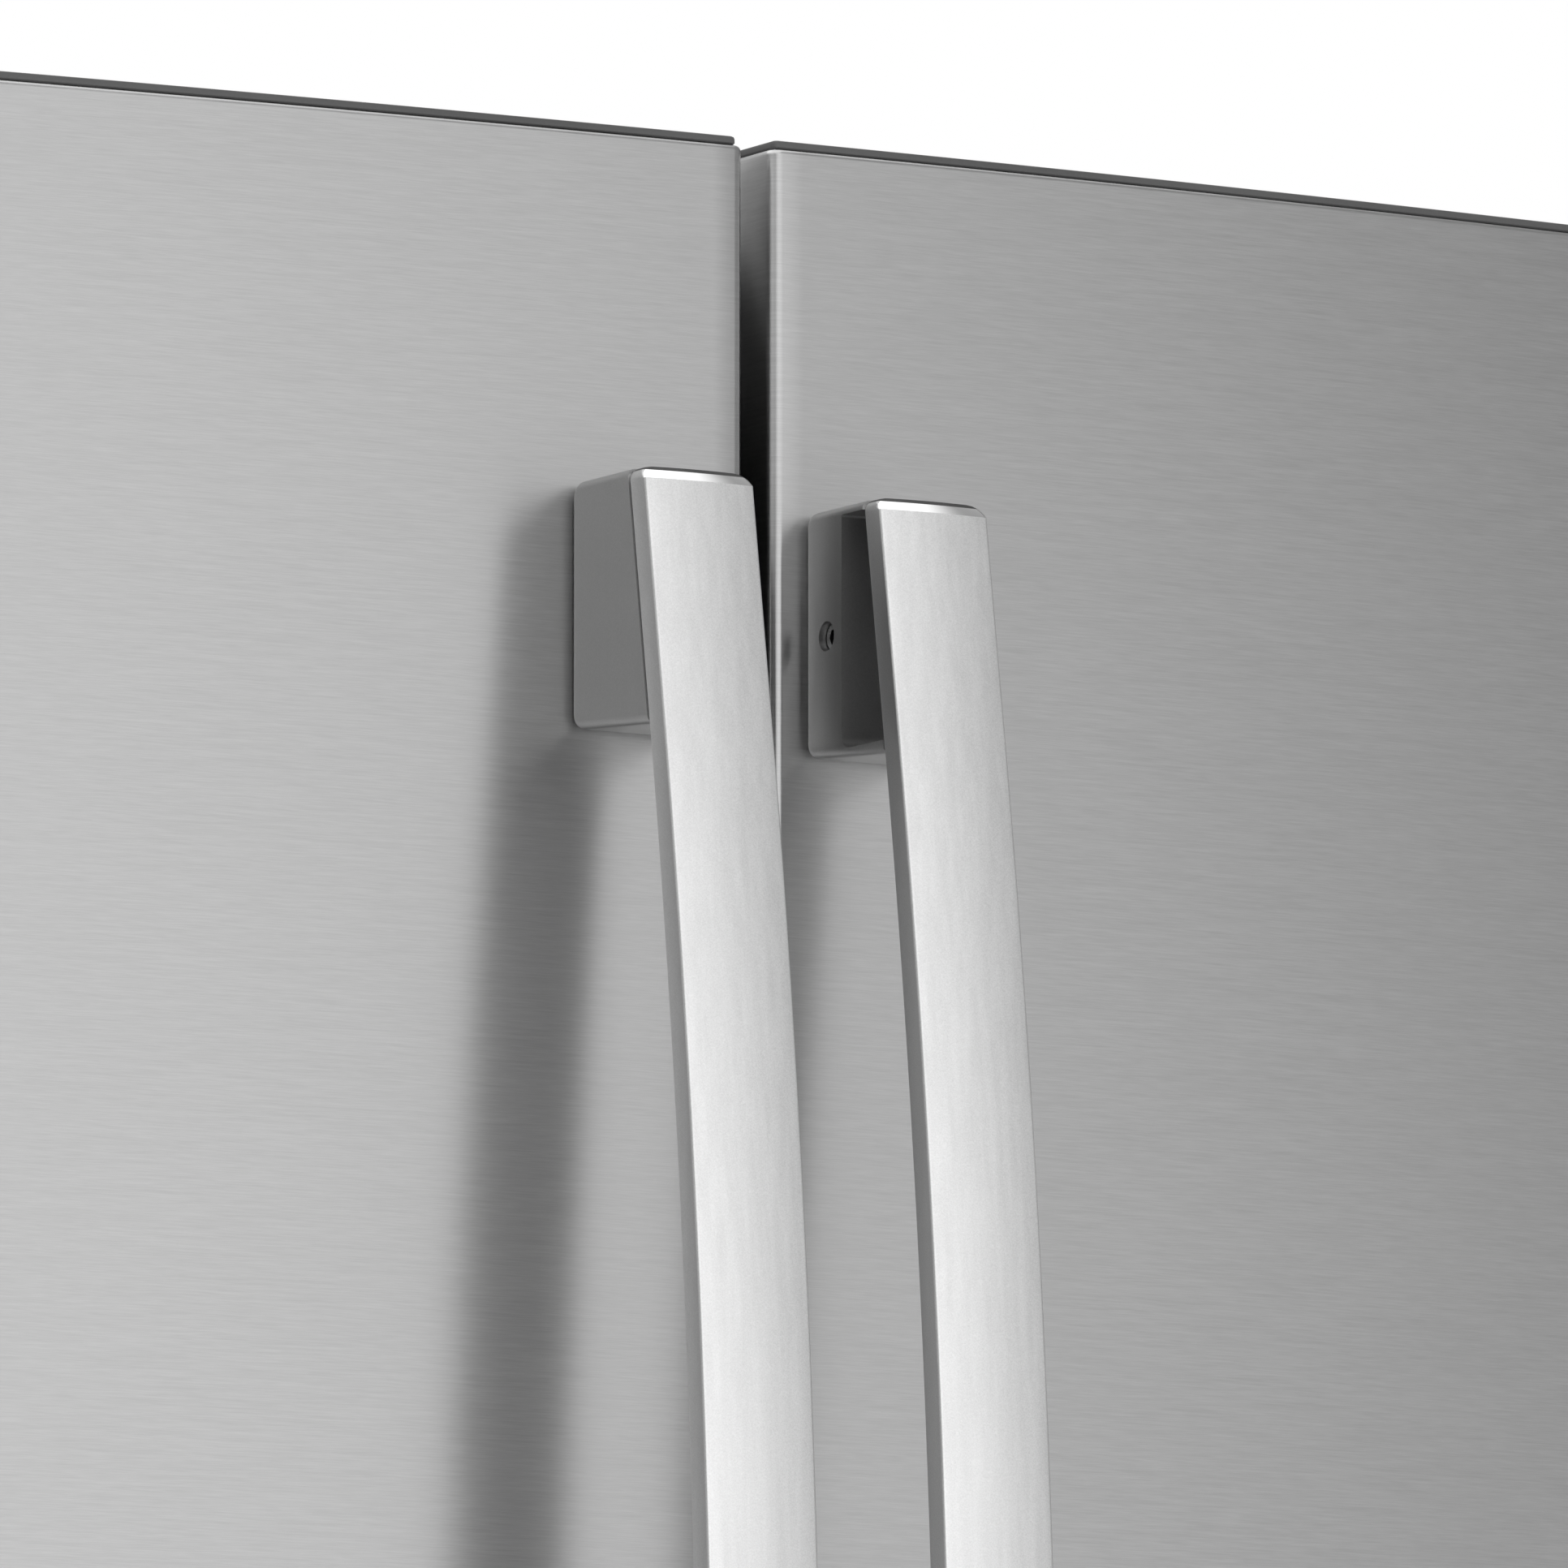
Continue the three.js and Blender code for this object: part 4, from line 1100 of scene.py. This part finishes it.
def compressor_body():
    low, high = box_mm("compressor")
    x, y = (low.x + high.x) / 2, (low.y + high.y) / 2
    shell = [(56, 0), (62, 3), (70, 14), (76, 32), (78, 48), (78, 84), (80.5, 86), (80.5, 91), (78, 93),
             (78, 122), (75, 142), (66, 160), (50, 172), (30, 178.5), (8, 180)]
    bits = Bits()
    bits.lathe((x, y, low.z + 8), (0, 0, 1), shell, 48)
    bits.box((x - 85, y - 60, low.z), (x + 85, y + 60, low.z + 13), 3, 3)
    bits.box((x + 56, y - 26, low.z + 70), (x + 84, y + 26, low.z + 132), 5, 3)
    bits.finish("compressor_shell", "root", "black_paint", "compressor")
    pipes = Bits()
    pipe_x = x - 50
    pipes.tube([
        (pipe_x, y, low.z + 150),
        (pipe_x, y, high.z - 22),
        (pipe_x - 2, y, high.z - 12),
        (pipe_x - 10, y, high.z - 6.5),
        (pipe_x - 28, y, high.z - 6),
    ], 5, 14)
    pipe_x = x - 28
    pipes.tube([
        (pipe_x, y - 52, low.z + 110),
        (pipe_x, y - 66, low.z + 116),
        (pipe_x, y - 68, low.z + 128),
        (pipe_x, y - 68, high.z - 20),
    ], 3, 12)
    pipes.finish("compressor_pipes", "root", "zinc_steel", None, COPPER)
    feet = Bits()
    grommet = [(9, 0), (10.5, 2), (10.5, 6), (8, 8), (8, 11), (10, 13), (9, 16)]
    for dx in (-72, 72):
        for dy in (-62, 62):
            feet.lathe((x + dx, y + dy, low.z), (0, 0, 1), grommet, 24)
    feet.finish("compressor_grommets", "root", "gasket_rubber")


def condenser():
    low, high = box_mm("condenser_coil")
    middle_x, middle_y = (low.x + high.x) / 2, (low.y + high.y) / 2
    runs, pitch, reach = 7, 30, 140
    bend_steps, bend_radius = 8, 12
    path = []
    for i in range(runs):
        z = low.z + 12 + i * pitch
        side = 1 if i % 2 == 0 else -1
        path += [(middle_x - side * reach, middle_y, z), (middle_x + side * reach, middle_y, z)]
        if i + 1 < runs:
            for k in range(1, bend_steps):
                angle = math.radians(-90 + 180 * k / bend_steps)
                path.append((middle_x + side * (reach + bend_radius * math.cos(angle)), middle_y,
                             z + pitch / 2 + pitch / 2 * math.sin(angle)))
    Bits().tube(path, 4.5, 14).finish("condenser_tube", "root", "black_paint", "condenser_coil", COPPER)
    fins = Bits()
    count = 34
    for i in range(count):
        x = middle_x - 128 + 256 * i / (count - 1)
        fins.box((x - 0.3, low.y + 14, low.z + 4), (x + 0.3, high.y - 14, high.z - 8))
    for x in (middle_x - 134, middle_x + 134):
        fins.box((x - 0.8, low.y, low.z), (x + 0.8, high.y, high.z - 4), 0.4, 1)
    fins.finish("condenser_fins", "root", "zinc_steel", "condenser_coil")


def fan_blade(centre, start):
    """A twisted blade of even thickness that grows outwards from the hub."""
    stations, around = 7, 7
    thickness = Vector((1.6, 0, 0))
    bm = bmesh.new()
    fronts, backs = [], []
    for j in range(stations):
        part = j / (stations - 1)
        radius = 17 + 50 * part
        sweep = math.radians(30 - 6 * part)
        spots = []
        for i in range(around):
            t = i / (around - 1) - 0.5
            edge = 1 - 0.35 * part * (2 * t) ** 4
            angle = start + t * 2 * sweep * edge + 0.25 * part
            lean = -17 + t * (20 - 8 * part) - 3 * (1 - (2 * t) ** 2)
            spots.append(centre + Vector((lean, radius * math.cos(angle), radius * math.sin(angle))))
        fronts.append([bm.verts.new(spot) for spot in spots])
        backs.append([bm.verts.new(spot + thickness) for spot in spots])

    def quad(near, far, i, k):
        bm.faces.new((near[i], near[k], far[k], far[i]))

    for j in range(stations - 1):
        for i in range(around - 1):
            quad(fronts[j], fronts[j + 1], i, i + 1)
            quad(backs[j], backs[j + 1], i, i + 1)
    for row in (0, -1):
        for i in range(around - 1):
            quad(fronts[row], backs[row], i, i + 1)
        for j in range(stations - 1):
            bm.faces.new((fronts[j][row], fronts[j + 1][row], backs[j + 1][row], backs[j][row]))
    return bm


def fan_wheel():
    centre = Vector((-125, CABINET_FRONT_Y + 580, 180))
    hub = [(16, -30), (19, -28), (20, -25), (20, -5), (19, -4), (5, -4), (3, -4), (3, 15)]
    bits = Bits()
    bits.lathe(centre, (1, 0, 0), hub, 36)
    blades = 5
    for b in range(blades):
        bits.take(fan_blade(centre, 2 * math.pi * b / blades))
    bits.finish("condenser_fan_wheel", "fan", "black_plastic", "condenser_fan")


def hinge_fittings(side, word):
    """Screws, bushings and washers on the top and middle hinges."""
    axis_x, axis_y = side * 432, CABINET_FRONT_Y - 37
    bits = Bits()
    for dy in (30, 60, 85):
        bits.screw((side * 427, CABINET_FRONT_Y + dy, 1752.3), (0, 0, 1), 6, 4)
    bits.lathe((axis_x, axis_y, 1766), (0, 0, 1), [(7.5, 0), (7.5, 1.6), (6, 2.4)], 28)
    for z in (710, 720):
        bits.screw((side * 441, CABINET_FRONT_Y - 3.2, z), (0, -1, 0), 4.2, 2.6)
    bits.lathe((axis_x, axis_y, 732), (0, 0, 1), [(9, 0), (9, 1.2), (8, 1.8)], 28)
    bits.finish(f"hinge_fittings_{word}", "root", "zinc_steel")


def back_sheet():
    """The back panel with pressed-in beads and a row of screws sunk into dimples round its edge."""
    low, high = box_mm("back_panel")
    floor_y = high.y - 0.7
    bead_radius = 22
    bead_y = floor_y + bead_radius
    beads = Bits()
    for z in range(420, 1621, 240):
        beads.rod((low.x + 90, bead_y, z), (high.x - 90, bead_y, z), bead_radius, 96)
    spots = [(x, 110 + 200 * i) for x in (low.x + 14, high.x - 14) for i in range(9)]
    spots += [(low.x + 160 + 145 * i, z) for z in (high.z - 14, low.z + 16) for i in range(5)]
    heads = Bits()
    for x, z in spots:
        beads.rod((x, floor_y, z), (x, high.y + 2, z), 6.5, 20)
        heads.lathe((x, floor_y - 0.2, z), (0, 1, 0), [(4.6, 0), (4.6, 0.35), (3.6, 0.7), (1.5, 0.85)], 18)
    sheet = nodes["back_panel"].data.copy()
    sheet.transform(Matrix.Scale(1 / MM, 4) @ nodes["back_panel"].matrix_world)
    pressed = carve(sheet, [to_mesh(beads.bm, "beads")])
    add_object("back_panel_pressed", pressed, "root", "zinc_steel", "back_panel", smooth_angle=1)
    heads.finish("back_panel_screws", "root", "zinc_steel", None, SCREW_STEEL)


for sign, word in ((-1, "left"), (1, "right")):
    levelling_leg(word)
    hinge_fittings(sign, word)
rollers()
compressor_body()
condenser()
fan_wheel()
back_sheet()

SOFT_EDGES = {
    0.6: ["base_grille", "fan_shroud", "base_pan", "freezer_rail_left", "freezer_rail_right",
          "freezer_middle_rail_left", "freezer_middle_rail_right", "freezer_carriage", "top_hinge_left",
          "top_hinge_right", "mid_hinge_left", "mid_hinge_right"],
    1.5: ["cabinet_wrapper", "center_rail", "air_duct_cover"],
    2: ["left_door_liner", "right_door_liner", "freezer_drawer_liner", "fresh_food_liner", "freezer_liner"],
    3: ["hinge_cover_left", "hinge_cover_right"],
}
for edge_width, soft_nodes in SOFT_EDGES.items():
    for soft_node in soft_nodes:
        soften(soft_node, edge_width)


# ---- Stage ----

def make_floor():
    mesh = bpy.data.meshes.new("floor")
    half = 40
    mesh.from_pydata([(-half, -half, 0), (half, -half, 0), (half, half, 0), (-half, half, 0)], [],
                     [(0, 1, 2, 3)])
    floor = new_object("floor", mesh)
    floor.location.z = -0.5 * MM
    g = new_graph("pale_floor")
    mottle = g.noise(6, detail=4)
    mesh.materials.append(g.finish(Base_Color=g.shade(mottle, grey(0.80), grey(0.83)), Roughness=0.6))


def make_world():
    """White behind the object. Light and reflections come from a soft field, brightest in front and above."""
    world = bpy.data.worlds.new("studio")
    bpy.context.scene.world = world
    g = Graph(world)
    direction = g.add("ShaderNodeTexCoord").outputs["Generated"]

    def lobe(azimuth, elevation, inner, outer):
        """1 within inner degrees of a direction, falling smoothly to 0 at outer degrees."""
        a, e = math.radians(azimuth), math.radians(elevation)
        centre = (math.sin(a) * math.cos(e), -math.cos(a) * math.cos(e), math.sin(e))
        dot = g.add("ShaderNodeVectorMath", {0: direction, 1: centre}, operation="DOT_PRODUCT")
        falloff = g.add(
            "ShaderNodeMapRange",
            {"Value": dot.outputs["Value"], "From Min": math.cos(math.radians(outer)),
             "From Max": math.cos(math.radians(inner))},
            interpolation_type="SMOOTHSTEP",
        )
        return falloff.outputs["Result"]

    light = g.sum(0.28, lobe(2, 1, 14, 47), 0.84)
    light = g.sum(light, lobe(-90, 72, 46, 53), 1.0)
    light = g.sum(light, lobe(180, 25, 20, 70), 0.4)
    seen = g.add("ShaderNodeBackground", {"Color": (1, 1, 1, 1), "Strength": 1.0})
    lit = g.add("ShaderNodeBackground", {"Color": (1, 1, 1, 1), "Strength": light})
    is_camera = g.add("ShaderNodeLightPath").outputs["Is Camera Ray"]
    mix = g.add("ShaderNodeMixShader", {0: is_camera, 1: lit.outputs[0], 2: seen.outputs[0]})
    g.add("ShaderNodeOutputWorld", {"Surface": mix.outputs[0]})


def area_light(name, location, target, size, power):
    data = bpy.data.lights.new(name, "AREA")
    data.shape = "RECTANGLE"
    data.size, data.size_y = size
    data.energy = power
    light = new_object(name, data)
    light.location = location
    light.rotation_euler = (Vector(target) - Vector(location)).to_track_quat("-Z", "Y").to_euler()
    light.visible_camera = False
    light.visible_glossy = False


make_floor()
make_world()
area_light("key_light", (1.6, -3.6, 3.4), (0, 0, 1.2), (2.2, 1.6), 40)
area_light("front_fill", (-0.6, -4.5, 1.7), (0, 0, 1.1), (2.4, 2.4), 45)
area_light("back_light", (-1.5, 4.0, 3.2), (0, 0, 1.0), (2.5, 1.5), 40)

bpy.context.scene.view_settings.view_transform = "Standard"
bpy.context.scene.view_settings.look = "None"
